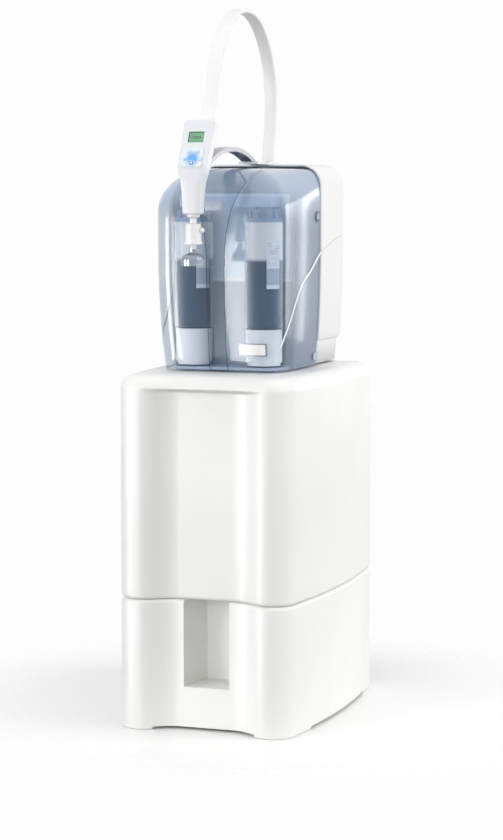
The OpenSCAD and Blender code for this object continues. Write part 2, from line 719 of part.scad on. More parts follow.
// Flat band swept along the route: a ring is the hose's flat oval section
module hose() {
    path = hose_route;
    color("white") loft([for (i = [0:len(path) - 1])
        let (d = path_dir(path, i), u = d / norm(d), n = cross(u, [1, 0, 0]), v = n / norm(n))
        [for (a = [0:30:330]) path[i] + [1, 0, 0] * hose_w / 2 * sign(cos(a)) * pow(abs(cos(a)), 0.6)
            - v * hose_t / 2 * sign(sin(a)) * pow(abs(sin(a)), 0.8)]]);
}

water_port_x = [-80, -48];
water_port_r = 8;
ports_z = unit_z + 80;
inlet_x = 70;
inlet_w = 28;
inlet_h = 22;
switch_x = 34;
switch_w = 13;
switch_h = 24;
back_face = unit_back - 8 * lean(ports_z);

module water_ports() {
    color("lightgray") for (x = water_port_x) translate([x, back_face, ports_z]) rotate([-90, 0, 0]) {
        translate([0, 0, -housing_t - 8]) tube_z(water_port_r, 4, housing_t + 22);
        translate([0, 0, 0.5]) tube_z(13, water_port_r + 0.02, 6);
        translate([0, 0, -housing_t - 6]) tube_z(13, water_port_r + 0.02, 5);
    }
}

module power_inlet() {
    color("black") translate([inlet_x, back_face, ports_z]) difference() {
        union() {
            translate([-inlet_w / 2, -24, -inlet_h / 2]) cube([inlet_w, 25, inlet_h]);
            translate([-inlet_w / 2 - 8, 0.6, -inlet_h / 2 - 3]) cube([inlet_w + 16, 2.4, inlet_h + 6]);
        }
        translate([-inlet_w / 2 + 2.5, -15, -inlet_h / 2 + 2.5]) cube([inlet_w - 5, 20, inlet_h - 5]);
    }
    color("silver") for (x = [-7, 0, 7])
        translate([inlet_x + x - 1, back_face - 17, ports_z - 3]) cube([2, 14, 5]);
}

// Frame of the mains switch, with a bore in each side for the rocker's pin
module switch_frame() {
    color("black") translate([switch_x, back_face, ports_z]) difference() {
        union() {
            translate([-switch_w / 2, -14, -switch_h / 2]) cube([switch_w, 14.8, switch_h]);
            translate([-switch_w / 2 - 2, 0.5, -switch_h / 2 - 2]) cube([switch_w + 4, 2, switch_h + 4]);
        }
        translate([-switch_w / 2 + 2, -12, -switch_h / 2 + 1.5]) cube([switch_w - 4, 20, switch_h - 3]);
        translate([-switch_w / 2 + 0.6, -2, 0]) rotate([0, 90, 0]) cylinder(r = 1.5 + run, h = switch_w - 1.2);
    }
}

// Rocker of the mains switch, which tips on its pin
module power_switch() {
    w = switch_w - 5;
    color("black") translate([switch_x, back_face - 2, ports_z]) {
        rotate([0, 90, 0]) translate([0, 0, -w / 2]) linear_extrude(w)
            polygon([[-7, -5], [7, -5], [8, 3], [0, 4.4], [-8, 6.4]]);
        translate([-switch_w / 2 + 0.8, 0, 0]) rotate([0, 90, 0]) cylinder(r = 1.5, h = switch_w - 1.6);
    }
}

badge_x = 74;
badge_z = tank_top + 48;
badge_w = 58;
badge_h = 25;

// Bare plate on the right lobe, curved as the lobe is and leaning with it
module badge_plate() {
    xs = [for (i = [0:6]) badge_x + badge_w * (i / 6 - 0.5)];
    lean_in = front_taper * (lean(badge_z + 1) - lean(badge_z));
    color("white") translate([0, 0, badge_z]) multmatrix([[1, 0, 0, 0], [0, 1, lean_in, 0], [0, 0, 1, 0]])
        translate([0, 0, -badge_h / 2]) linear_extrude(badge_h) polygon(concat(
            [for (x = xs) [x, lobe_face(x, badge_z) - 2]],
            [for (i = [6:-1:0]) [xs[i], lobe_face(xs[i], badge_z) - 0.15]]));
}

// ---- holder -------------------------------------------------------------------------------------------------

base_z = unit_top + 0.2;
base_w = 40;
base_t = 5;
base_lap = 70;      // how far the base reaches forward over the cover
base_seat = 33;     // how far it lies on the housing
cradle_t = 7;
cradle_z = 6;       // place of the cradle along the dispenser's head
arm_back = [seam_y - base_lap + 14, base_z + base_t - 2];
arm_front = [head_y + (head_t / 2 + cradle_t) * cos(head_tilt) + 16 * sin(head_tilt),
    head_z - (head_t / 2 + cradle_t) * sin(head_tilt) + 16 * cos(head_tilt)];

module holder_base() {
    color("white") translate([-base_w / 2, seam_y - base_lap, base_z]) cube([base_w, base_lap + base_seat, base_t]);
}

// Points of the arm's arc, from the base to the cradle
arm_chord = norm(arm_back - arm_front);
arm_radius = (pow(arm_chord / 2, 2) + pow(arm_rise, 2)) / (2 * arm_rise);
arm_half = asin(arm_chord / 2 / arm_radius);
function arm_point(a, r) = let (
        m = (arm_back + arm_front) / 2, d = (arm_front - arm_back) / arm_chord, up = [d[1], -d[0]],
        c = m - up * (arm_radius - arm_rise))
    c + r * (d * sin(a) + up * cos(a));
function arm_edge(r, extra) = [for (i = [0:16]) arm_point((arm_half + extra) * (i / 8 - 1), r)];

module holder_arm() {
    far = arm_edge(arm_radius + arm_t / 2, 1.5);
    near = arm_edge(arm_radius - arm_t / 2, 1.5);
    color("silver") difference() {
        rotate([90, 0, 90]) translate([0, 0, -arm_w / 2]) linear_extrude(arm_w)
            polygon(concat(far, [for (i = [16:-1:0]) near[i]]));
        // flat seats on the base and on the cradle
        translate([-50, arm_back[0] - 60, base_z + base_t - 30]) cube([100, 120, 30]);
        in_head() translate([-50, -100, -60]) cube([100, 100 + head_t / 2 + fit + cradle_t, 160]);
    }
}

// Saddle behind the dispenser's head, which holds it
module holder_cradle() {
    color("gray") in_head() translate([-13, head_t / 2 + fit, cradle_z]) cube([26, cradle_t - 0.1, 24]);
}

module holder_screws() {
    color("silver") for (x = [-12, 12])
        translate([x, seam_y + base_seat - 12, base_z + base_t]) cylinder(r = 3.5, h = 2.2, $fn = 24);
}

// ---- dispenser ----------------------------------------------------------------------------------------------

// Stations of the dispenser's body from its foot: [y, z, tilt, half width, half thickness]
function head_at(s, hw, ht) = [head_y + s * sin(head_tilt), head_z + s * cos(head_tilt), head_tilt, hw, ht];
stations = [
    [disp_y, grip_z, 0, grip_w / 2 - 3, grip_t / 2 - 3],
    [disp_y, grip_z + 3, 0, grip_w / 2 - 0.5, grip_t / 2 - 0.5],
    [disp_y, grip_z + 20, 0, grip_w / 2, grip_t / 2],
    [disp_y, grip_z + grip_l * 0.55, 0, grip_w / 2 + 1.5, grip_t / 2 + 0.5],
    [disp_y, grip_z + grip_l * 0.78, head_tilt * 0.3, grip_w / 2 + 4, grip_t / 2 + 1],
    [head_y + 1, head_z - 4, head_tilt * 0.7, head_low_w / 2 - 2, head_t / 2 - 0.5],
    head_at(8, head_low_w / 2, head_t / 2),
    head_at(head_l * 0.5, (head_low_w + head_w) / 4, head_t / 2),
    head_at(head_l - 6, head_w / 2, head_t / 2),
    head_at(head_l - 2, head_w / 2 - 0.6, head_t / 2 - 0.6),
    head_at(head_l, head_w / 2 - 2.5, head_t / 2 - 2.5)];

// Half ring of a station: the front half for half = -1, the back half for half = 1
function half_ring(s, half) = let (p = 0.42)
    [for (a = [0:12:180]) let (
            x = -half * s[3] * sign(cos(a)) * pow(abs(cos(a)), p),
            y = half * (s[4] * pow(abs(sin(a)), p) + 0.05))
        [disp_x + x, s[0] + y * cos(s[2]), s[1] - y * sin(s[2])]];

module in_head() {
    translate([disp_x, head_y, head_z]) rotate([-head_tilt, 0, 0]) children();
}

key_rows = [[-9, 36.6], [9, 36.6], [-17, 20], [17, 20]];
main_key = [0, 11.5];
screen = [0, 68, 31, 23];
face_y = -head_t / 2;

module key_bore(at, r) {
    translate([at[0], face_y - 1, at[1]]) rotate([-90, 0, 0]) cylinder(r = r, h = 9);
}

module handset_front() {
    color("white") difference() {
        loft([for (s = stations) half_ring(s, -1)]);
        in_head() {
            for (k = key_rows) key_bore(k, key_r + fit);
            key_bore(main_key, main_key_r + fit);
            translate([screen[0] - screen[2] / 2 - fit, face_y - 1, screen[1] - screen[3] / 2 - fit])
                cube([screen[2] + 2 * fit, 7, screen[3] + 2 * fit]);
        }
    }
}

module handset_back() {
    color("whitesmoke") loft([for (s = stations) half_ring(s, 1)]);
}

module display() {
    color("mediumseagreen") in_head() translate([screen[0] - screen[2] / 2, face_y + 2.2, screen[1] - screen[3] / 2])
        cube([screen[2], 3.6, screen[3]]);
}

module display_lens() {
    color([0.8, 0.9, 0.85, 0.4]) in_head()
        translate([screen[0] - screen[2] / 2, face_y + 0.3, screen[1] - screen[3] / 2])
            cube([screen[2], 1.8, screen[3]]);
}

// Printed foil round the keys
module key_plate() {
    color("lightblue") in_head() difference() {
        translate([-21, face_y - 0.6, 4]) cube([42, 0.5, 39]);
        for (k = key_rows) key_bore(k, key_r + fit);
        key_bore(main_key, main_key_r + fit);
    }
}

// Key that stands out of the face by its own travel and its bevelled edge
module key_shape(at, r) {
    edge = 0.8;
    in_head() translate([at[0], face_y - key_travel - edge, at[1]]) rotate([-90, 0, 0]) {
        translate([0, 0, edge]) cylinder(r = r, h = 5.2);
        cylinder(r1 = r - edge, r2 = r, h = edge);
    }
}

module key_1() { color("lightskyblue") key_shape(key_rows[0], key_r); }
module key_2() { color("lightskyblue") key_shape(key_rows[1], key_r); }
module key_3() { color("lightskyblue") key_shape(key_rows[2], key_r); }
module key_4() { color("lightskyblue") key_shape(key_rows[3], key_r); }
module dispense_key() { color("dodgerblue") key_shape(main_key, main_key_r); }

stem_r = 4;
neck_r = 5.9;

module outlet_collar() {
    color("white") translate([disp_x, disp_y, 0]) difference() {
        union() {
            translate([0, 0, grip_z - 4.1]) cylinder(r = 12.7, h = 4);
            translate([0, 0, grip_z - 8.1]) cylinder(r1 = 6.5, r2 = 12, h = 4);
            translate([0, 0, capsule_z + 33]) cylinder(r = 6.5, h = grip_z - 8 - capsule_z - 33);
        }
        translate([0, 0, capsule_z + 30]) cylinder(r = stem_r + run, h = 10);
        translate([0, 0, capsule_z + 30]) cylinder(r = 1.6, h = 30);
    }
}

module final_filter() {
    color("white") translate([disp_x, disp_y, 0]) difference() {
        union() {
            translate([0, 0, capsule_z + 31]) cylinder(r = stem_r, h = 8);
            translate([0, 0, capsule_z + 25]) cylinder(r = filter_r - 1, h = 7);
            translate([0, 0, capsule_z - 2]) cylinder(r = filter_r, h = 27);
            translate([0, 0, capsule_z - 7]) cylinder(r = filter_r + 2, h = 5);
            translate([0, 0, bell_z + 30]) cylinder(r = neck_r, h = 14);
            translate([0, 0, bell_z + 18]) cylinder(r1 = 2.6, r2 = 4.6, h = 12);
            translate([0, 0, capsule_z + 20]) rotate([0, 90, 0]) cylinder(r = 3, h = filter_r + 3);
        }
        translate([0, 0, bell_z + 10]) cylinder(r = 1.6, h = 100);
    }
}

// Winged cap on the vent of the final filter
module vent_cap() {
    color("white") translate([disp_x + filter_r + 0.4, disp_y, capsule_z + 20]) rotate([0, 90, 0]) {
        difference() {
            cylinder(r = 4.6, h = 5);
            translate([0, 0, -1]) cylinder(r = 3 + run, h = 3.7);
        }
        translate([-1, -5.8, 2.9]) cube([2, 11.6, 2.1]);
    }
}

// Open bell round the outlet: a straight rim under a dome that sits on the filter's neck
module filling_bell() {
    hub = neck_r + run;
    color([0.85, 0.9, 0.95, 0.4]) translate([disp_x, disp_y, bell_z]) rotate_extrude() polygon([
        [bell_r, 0], [bell_r, bell_h - 6], [bell_r - 1, bell_h - 2], [bell_r - 5, bell_h + 2.5],
        [hub + 4, bell_h + 6], [hub + 2, bell_h + 9], [hub + 2, bell_h + 14], [hub, bell_h + 14], [hub, bell_h + 5],
        [bell_r - 6, bell_h + 1], [bell_r - 2.4, bell_h - 3], [bell_r - bell_t, bell_h - 7],
        [bell_r - bell_t, 0]]);
}

stand();
tank();
connection_hood();
level_probe();
vent_filter();
tank_outlet();
housing();
cover();
unit_floor();
unit_feet();
chassis();
latch_left();
latch_right();
cartridge_left();
cartridge_right();
resin_left();
resin_right();
cup_left();
cup_right();
cap_left();
cap_right();
label_left();
label_right();
manifold();
uv_reactor();
pump();
power_supply();
controller_board();
valve_block();
inner_tubes();
hose_socket();
hose();
holder_base();
holder_arm();
holder_cradle();
holder_screws();
handset_front();
handset_back();
display();
display_lens();
key_plate();
key_1();
key_2();
key_3();
key_4();
dispense_key();
outlet_collar();
final_filter();
vent_cap();
filling_bell();
badge_plate();
power_inlet();
switch_frame();
power_switch();
water_ports();
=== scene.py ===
# %% [markdown]
# # Ultrapure water system
# This lesson dresses a laboratory water purifier. A bench unit with a smoked, see-through cover stands on a
# storage tank, the tank stands on a base with a niche, and a flat hose arches from the unit to a dispenser
# that a hand can lift. The CAD part already has every piece in its place. Here each piece gets its finish,
# and where the CAD shape is too plain, a finer mesh stands for it.
# The scene is in metres, +Z points up, and the front faces -Y.

# %% Load the CAD part
import json
import math
import bpy
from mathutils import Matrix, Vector


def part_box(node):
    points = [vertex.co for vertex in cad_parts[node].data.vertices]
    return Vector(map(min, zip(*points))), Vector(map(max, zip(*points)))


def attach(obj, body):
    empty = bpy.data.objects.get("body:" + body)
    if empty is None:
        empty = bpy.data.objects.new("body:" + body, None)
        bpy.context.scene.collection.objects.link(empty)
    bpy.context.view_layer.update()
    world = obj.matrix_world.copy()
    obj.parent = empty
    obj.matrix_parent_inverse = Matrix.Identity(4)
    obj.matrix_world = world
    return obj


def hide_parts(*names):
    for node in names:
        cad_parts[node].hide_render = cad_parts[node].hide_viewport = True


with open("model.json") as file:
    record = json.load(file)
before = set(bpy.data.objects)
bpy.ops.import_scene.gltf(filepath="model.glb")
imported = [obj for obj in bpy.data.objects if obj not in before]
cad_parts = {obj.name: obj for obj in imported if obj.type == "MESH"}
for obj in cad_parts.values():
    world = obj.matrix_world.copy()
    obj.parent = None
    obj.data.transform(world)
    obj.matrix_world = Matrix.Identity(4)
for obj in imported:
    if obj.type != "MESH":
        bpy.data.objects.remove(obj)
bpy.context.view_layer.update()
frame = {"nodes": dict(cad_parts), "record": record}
nodes = frame["nodes"]
scene = bpy.context.scene

# %% [markdown]
# ## Camera
# The photograph was taken with a long lens from the right of the front, a little above the unit's top. The
# camera could be aimed by eye, but then no later comparison would hold. Its place was worked out from the
# corners of tank and stand instead. A focal length in pixels becomes a lens in millimetres through the
# photograph's long side, because Blender's sensor is 36 mm along that side.

# %% Camera
photo_height, focal_pixels, sensor = 840, 2400, 36
look_down, look_round = 5.592, 19.4
camera_data = bpy.data.cameras.new("camera")
camera_data.lens = sensor * focal_pixels / photo_height
camera = bpy.data.objects.new("camera", camera_data)
camera.location = (1.6345, -4.6094, 1.0761)
camera.rotation_euler = (math.radians(90 - look_down), 0, math.radians(look_round))
scene.collection.objects.link(camera)
scene.camera = camera
print("camera lens", round(camera_data.lens, 2))

# %% [markdown]
# ## Shader maths
# A finish is a net of nodes, and long sums of Math nodes are hard to read when each is placed by hand. `Sock`
# wraps the output of a node, so that an expression such as `1 - mask * 0.5` adds those nodes by itself.

# %% A node's output
class Sock:
    """The output of a node, which can be calculated with like a number."""

    def __init__(self, home, out):
        self.home, self.out = home, out

    def __add__(self, other):
        return self.home.math("ADD", self, other)

    def __sub__(self, other):
        return self.home.math("SUBTRACT", self, other)

    def __mul__(self, other):
        return self.home.math("MULTIPLY", self, other)

    def __gt__(self, other):
        return self.home.math("GREATER_THAN", self, other)

    def __lt__(self, other):
        return self.home.math("LESS_THAN", self, other)

    def __rsub__(self, other):
        return self.home.math("SUBTRACT", other, self)

    __radd__, __rmul__ = __add__, __mul__

    def abs(self):
        return self.home.math("ABSOLUTE", self)

    def fract(self):
        return self.home.math("FRACT", self)

    def power(self, other):
        return self.home.math("POWER", self, other)

    def arctan2(self, other):
        return self.home.math("ARCTAN2", self, other)

    def larger(self, other):
        return self.home.math("MAXIMUM", self, other)

    def clamp(self):
        return self.home.math("ADD", self, 0, clamp=True)

    def between(self, low, high):
        """1 from low to high, and 0 outside."""
        return (self > low) * (self < high)

    def smooth(self, low, high):
        """0 below low and 1 above high, eased between them."""
        return self.home.node("ShaderNodeMapRange", {"interpolation_type": "SMOOTHSTEP"},
                              {"Value": self, "From Min": low, "From Max": high})


def distance(a, b):
    """Length of the line whose two legs are a and b."""
    return (a * a + b * b).power(0.5)


print("outputs can be calculated with")

# %% [markdown]
# `Nodes` adds nodes of any type to a tree: it sets their settings first, and then their sockets, which take
# a number, a colour or another node's output. Materials and the world both keep such a tree.

# %% A tree of nodes
class Nodes:
    """Adds nodes to the tree of a material or of the world."""

    def __init__(self, tree):
        self.tree = tree

    def feed(self, socket, value):
        """Gives a socket a number, a colour or the output of a node."""
        if isinstance(value, Sock):
            self.tree.links.new(value.out, socket)
        elif socket.type == "RGBA":
            socket.default_value = (*value, 1)
        else:
            socket.default_value = value

    def node(self, kind, settings=None, sockets=None, out=0):
        """Adds a node of the given type and gives its output."""
        node = self.tree.nodes.new(kind)
        for key, value in (settings or {}).items():
            setattr(node, key, value)
        for key, value in (sockets or {}).items():
            self.feed(node.inputs[key], value)
        return Sock(self, node.outputs[out])

    def math(self, kind, *values, clamp=False):
        """Adds a Math node for the given operation."""
        return self.node("ShaderNodeMath", {"operation": kind, "use_clamp": clamp}, dict(enumerate(values)))


print("nodes can be added")

# %% [markdown]
# `Mat` is a material with Blender's Principled shader, which can look like plastic, metal or clear film. Its
# patterns lie in the object's own coordinates, so they need no unwrapping and move along with a piece.

# %% A material
class Mat(Nodes):
    """A material with the Principled shader."""

    def __init__(self, name, color, roughness, **inputs):
        self.data = bpy.data.materials.new(name)
        self.data.use_nodes = True
        super().__init__(self.data.node_tree)
        self.bsdf = self.tree.nodes["Principled BSDF"]
        self.set("Base Color", color)
        self.set("Roughness", roughness)
        for key, value in inputs.items():
            self.set(key.replace("_", " "), value)

    def set(self, name, value):
        """Gives one of the shader's inputs a value."""
        self.feed(self.bsdf.inputs[name], value)

    def point(self):
        return self.node("ShaderNodeTexCoord", out="Object")

    def place(self):
        """x, y and z of the shaded point, in metres of the part's frame."""
        split = self.node("ShaderNodeSeparateXYZ", {}, {0: self.point()})
        return [Sock(self, out) for out in split.out.node.outputs]

    def noise(self, scale, detail):
        return self.node("ShaderNodeTexNoise", {},
                         {"Vector": self.point(), "Scale": scale, "Detail": detail})

    def edge_on(self, sharpness):
        """0 where the surface faces the eye, and 1 where it is seen edge-on, as on clear tubes."""
        return self.node("ShaderNodeLayerWeight", {}, {"Blend": 0.5}, out="Facing").power(sharpness)

    def mix(self, share, a, b):
        """Colour a where share is 0 and b where it is 1; a Mix node's colours are its sockets 6 and 7."""
        return self.node("ShaderNodeMix", {"data_type": "RGBA"}, {0: share, 6: a, 7: b}, out=2)

    def bump(self, height, depth, strength):
        """Lets the height stand out by depth, in metres."""
        self.set("Normal", self.node("ShaderNodeBump", {}, {"Height": height, "Distance": depth,
                                                            "Strength": strength}))


print("materials can be made")

# %% [markdown]
# ## Moulded shell
# Stand and tank are moulded from polyethylene: warm white, not quite even in tone, with a very fine orange
# peel. A picture could show that, but it would have to be wrapped round the shape. Three noises do it here:
# a cloudy one for the tone, a finer one for the gloss, and the finest for the bump.

# %% Moulded shell
shell_white, shell_rough = (0.815, 0.812, 0.795), 0.42
shell = Mat("shell", shell_white, shell_rough)
cloudy = shell.noise(5.0, 3.0).smooth(0.3, 0.7)
shell.set("Base Color", shell.mix(cloudy, shell_white, tuple(c * 0.97 for c in shell_white)))
shell.set("Roughness", shell.noise(40.0, 2.0) * 0.14 + (shell_rough - 0.07))
shell.bump(shell.noise(420.0, 2.0), 0.0002, 0.25)
print("shell ready")

# %% [markdown]
# ## Plain finishes
# Most small pieces are injection-moulded plastic or stamped metal in one colour. A single flat colour would
# look like paper, so each gets a gloss that wanders a little and a grain that is too fine to see as a
# pattern. One function makes them all, because only colour, gloss and metal differ.

# %% Plain finishes
def plain(name, color, rough, speck=600.0, depth=0.00008, **inputs):
    """A finish in one colour with a fine grain."""
    mat = Mat(name, color, rough, **inputs)
    mat.set("Roughness", mat.noise(70.0, 2.0) * 0.08 + (rough - 0.04))
    mat.bump(mat.noise(speck, 1.0), depth, 0.3)
    return mat


plastic_white = plain("plastic_white", (0.76, 0.765, 0.77), 0.35)
plastic_grey = plain("plastic_grey", (0.42, 0.43, 0.44), 0.45)
plastic_dark = plain("plastic_dark", (0.13, 0.14, 0.16), 0.5)
plastic_black = plain("plastic_black", (0.02, 0.02, 0.022), 0.42)
rubber = plain("rubber", (0.03, 0.03, 0.03), 0.7)
board = plain("board", (0.015, 0.10, 0.05), 0.4)
tube_milky = plain("tube_milky", (0.70, 0.78, 0.82), 0.3)
steel = plain("steel", (0.60, 0.60, 0.59), 0.28, Metallic=1.0)
zinc = plain("zinc", (0.55, 0.56, 0.58), 0.38, Metallic=1.0)
grey_sheet = plain("grey_sheet", (0.45, 0.53, 0.63), 0.5)
print("plain finishes ready:", len(bpy.data.materials))

# %% [markdown]
# ## Unit and dispenser
# The housing's white has little shine in the photograph, so its specular level is low. The holder's band is
# bright metal. The flat hose is taken for silicone, whose grain is far finer than that of moulded plastic.

# %% Finishes of unit and dispenser
housing_white = plain("housing_white", (0.74, 0.74, 0.75), 0.45, Specular_IOR_Level=0.15)
badge_white = plain("badge_white", (0.80, 0.80, 0.80), 0.3)
latch_smoky = plain("latch_smoky", (0.20, 0.23, 0.29), 0.25)
arm_silver = plain("arm_silver", (0.27, 0.28, 0.30), 0.24, Metallic=1.0)
hose_white = plain("hose_white", (0.78, 0.78, 0.785), 0.42, speck=300.0, depth=0.00001)
handset_white = plain("handset_white", (0.69, 0.71, 0.735), 0.3)
lcd = plain("lcd", (0.13, 0.38, 0.19), 0.35)
foil = plain("foil", (0.74, 0.77, 0.80), 0.35)
key_blue = plain("key_blue", (0.50, 0.70, 0.90), 0.35)
key_dark = plain("key_dark", (0.03, 0.16, 0.55), 0.3)
# Near black for the line along the lobes' crests, as painted shade of the crease.
crease_painted_shade = plain("crease_painted_shade", (0.03, 0.04, 0.06), 0.3)
# The bevel lines carry painted light: grey as painted shade on the housing's ridge, and near white as a
# painted highlight on the cover's ridge.
ridge_painted_shade = plain("ridge_painted_shade", (0.50, 0.52, 0.55), 0.5)
ridge_painted_highlight = plain("ridge_painted_highlight", (0.80, 0.84, 0.90), 0.25, Coat_Weight=1.0)
print("outer finishes ready")

# %% [markdown]
# ## Behind the cover
# The cartridges hold dark blue resin above pale cups and under blue-grey caps. What stands behind the cover
# takes its tint, so these colours are paler or bluer than they look in the end.

# %% Finishes behind the cover
resin = plain("resin", (0.008, 0.055, 0.120), 0.7, Specular_IOR_Level=0.1)
cup_pale = plain("cup_pale", (0.88, 0.91, 0.93), 0.5)
cap_blue = plain("cap_blue", (0.28, 0.37, 0.51), 0.5)
manifold_blue = plain("manifold_blue", (0.44, 0.56, 0.74), 0.5)
chassis_sheet = plain("chassis_sheet", (0.45, 0.53, 0.63), 0.5)
label_film = plain("label_film", (0.72, 0.77, 0.84), 0.4)
print("inner finishes ready")

# %% [markdown]
# ## Clear plastics
# Glass could be rendered with true refraction, but in walls this thin it only costs time and darkens what is
# behind. A low alpha shows the same: a faint surface with its reflections. The cartridges' tubes are clear
# over the resin and milky above it, and every tube looks denser at its edges, where the eye looks along
# the wall.

# %% Clear plastics
lens_clear = Mat("lens_clear", (0.80, 0.90, 0.85), 0.05, Alpha=0.06)
clear_plastic = Mat("clear_plastic", (0.85, 0.90, 0.92), 0.04, Alpha=0.16)
bell_clear = Mat("bell_clear", (0.40, 0.45, 0.52), 0.06, Alpha=0.50, Metallic=0.9)

milky_from, milky_full = 0.924, 0.934
chamber_clear = Mat("chamber_clear", (0.92, 0.95, 0.97), 0.25)
milky = chamber_clear.place()[2].smooth(milky_from, milky_full) * 0.75
chamber_clear.set("Alpha", (milky + chamber_clear.edge_on(2.2) * 0.75 + 0.02).clamp())
print("clear plastics ready")

# %% [markdown]
# ## Smoked cover
# The cover is a blue-grey smoked sheet, clear enough to show the cartridges and glossy enough to mirror the
# studio. A glass shader would bend the view, which a thin sheet does not, so a plain transparent shader with
# a faint tint is mixed with a glossy one. The sheet looks denser at its roof, along its foot and wherever it
# is seen edge-on, so the glossy share grows there.

# %% Smoked cover, outer face
def veil(mat, tint, share):
    """Makes mat see-through: a clear part with a tint, and its own glossy part of the given share."""
    clear_part = mat.node("ShaderNodeBsdfTransparent", {}, {"Color": tint})
    glossy_part = Sock(mat, mat.bsdf.outputs[0])
    both = mat.node("ShaderNodeMixShader", {}, {0: share, 1: clear_part, 2: glossy_part})
    mat.feed(mat.tree.nodes["Material Output"].inputs["Surface"], both)


smoked_blue, roof_blue, foot_line = (0.10, 0.20, 0.35), (0.44, 0.58, 0.80), 0.7125
smoked = Mat("smoked", smoked_blue, 0.13, IOR=2.0, Specular_IOR_Level=1.0, Coat_Weight=1.0,
             Coat_Roughness=0.08)
height = smoked.place()[2]
roof_share = height.smooth(0.99, 1.07) * 0.34
smoked.set("Base Color", smoked.mix(height.smooth(0.98, 1.08), smoked_blue, roof_blue))
veil(smoked, (0.965, 0.98, 1.0), roof_share + (height < foot_line) * 0.3 + smoked.edge_on(2.6) * 0.45 + 0.16)
print("outer face ready")

# %% [markdown]
# The inner face stays nearly clear, apart from the two flanks: there the photograph shows no inner pieces,
# because the wall hides them, and the inner face turns dense towards the seam.

# %% Smoked cover, inner face
flank_x, flank_front, flank_full = 0.112, -0.105, -0.055
smoked_inner = Mat("smoked_inner", (0.13, 0.17, 0.25), 0.3, Specular_IOR_Level=0.3, Coat_Roughness=0.08)
across, along_y, _ = smoked_inner.place()
on_flank = along_y.smooth(flank_front, flank_full) * (across.abs() > flank_x)
veil(smoked_inner, (0.97, 0.98, 0.99), on_flank * 0.80 + 0.05)
print("inner face ready")

# %% [markdown]
# ## Chassis
# The sheet behind the cartridges is light above and darker below, with a bright rib between. Each could be a
# piece of its own, but the change of tone is all that shows through the cover, so it depends on height.

# %% Chassis
upper_tone, lower_tone, rib_tone = (0.72, 0.85, 0.97), (0.27, 0.31, 0.38), (0.88, 0.92, 0.96)
tone_low, tone_high, rib_low, rib_high = 0.880, 0.886, 0.8845, 0.8895
height = chassis_sheet.place()[2]
two_tone = chassis_sheet.mix(height.smooth(tone_low, tone_high), lower_tone, upper_tone)
rib = height.between(rib_low, rib_high)
chassis_sheet.set("Base Color", chassis_sheet.mix(rib, two_tone, rib_tone))
print("chassis ready")

# %% [markdown]
# ## Badge
# The badge is a bare white plate in a dark metal rim. The rim could be a frame of its own, but it is hardly
# 2 mm wide and flush with the plate, so the plate's finish changes near its edges. The frame of the CAD part
# says where those edges are.

# %% Badge
def middle(node):
    """Middle of a CAD node's box at rest, in metres."""
    return [(a + b) / 2 for a, b in zip(*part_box(node))]


badge_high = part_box("badge_plate")[1]
badge_x, _, badge_z = middle("badge_plate")
rim_side, rim_end = 0.0022, 0.0020
across, _, height = badge_white.place()
past_side = (across - badge_x).abs() > badge_high[0] - badge_x - rim_side
past_end = (height - badge_z).abs() > badge_high[2] - badge_z - rim_end
rim = (past_side + past_end).clamp()
badge_white.set("Base Color", badge_white.mix(rim, (0.80, 0.80, 0.80), (0.16, 0.18, 0.22)))
badge_white.set("Metallic", rim * 0.6)
print("badge middle:", round(badge_x, 3), round(badge_z, 3))

# %% [markdown]
# ## Labels
# The cartridges' labels are pale film with rows of short bars over a darker block, which stand for print
# without any words. Repeated rows come from the fraction of a scaled height, which climbs from 0 to 1 again
# and again, and a noise breaks each row into bars of different lengths.

# %% Labels
rows_per_metre, print_foot, block_low, block_high = 210, 0.918, 0.880, 0.912
film_tone, block_tone, print_tone = (0.72, 0.77, 0.84), (0.40, 0.47, 0.58), (0.25, 0.30, 0.38)
height = label_film.place()[2]
rows = ((height * rows_per_metre).fract() > 0.6) * (label_film.noise(90.0, 0.0) > 0.5) * (height > print_foot)
block = height.between(block_low, block_high)
film = label_film.mix(block, film_tone, block_tone)
label_film.set("Base Color", label_film.mix(rows * 0.5, film, print_tone))
print("labels ready")

# %% [markdown]
# ## Display
# The display is a green panel with a dark rim. Real digits would be tiny here, so a row of upright bars over
# a thin line gives the same impression.

# %% Display
digits_per_metre, first_digit = 210, 0.3
digit_x, digit_z = (-0.0125, 0.0075), (1.1640, 1.1700)
line_x, line_z = (-0.0145, 0.0095), (1.1595, 1.1605)
green_x, green_z = (-0.0167, 0.0117), (1.1562, 1.1757)
across, _, height = lcd.place()
in_row = across.between(*digit_x) * height.between(*digit_z)
digits = ((across * digits_per_metre + first_digit).fract() > 0.35) * in_row
underline = across.between(*line_x) * height.between(*line_z)
rim = 1 - across.between(*green_x) * height.between(*green_z)
lcd.set("Base Color", lcd.mix((digits + underline + rim).clamp(), (0.10, 0.36, 0.16), (0.02, 0.06, 0.04)))
print("display ready")

# %% [markdown]
# ## Key field and main key
# The keys sit on a round blue field that fades out to the white foil, and the main key has a light ring.
# Both patterns are measured from the middle line of the dispenser's head.

# %% Key field and main key
head_middle, field_z, main_key_z = middle("key_plate")[0], 1.1262, 1.1184
across, _, height = foil.place()
field = distance(across - head_middle, height - field_z)
foil.set("Base Color", foil.mix(field.smooth(0.005, 0.0185), (0.13, 0.38, 0.74), (0.72, 0.75, 0.78)))

across, _, height = key_dark.place()
ring = distance(across - head_middle, height - main_key_z) > 0.0046
key_dark.set("Base Color", key_dark.mix(ring, (0.04, 0.26, 0.62), (0.62, 0.78, 0.92)))
print("keys ready")
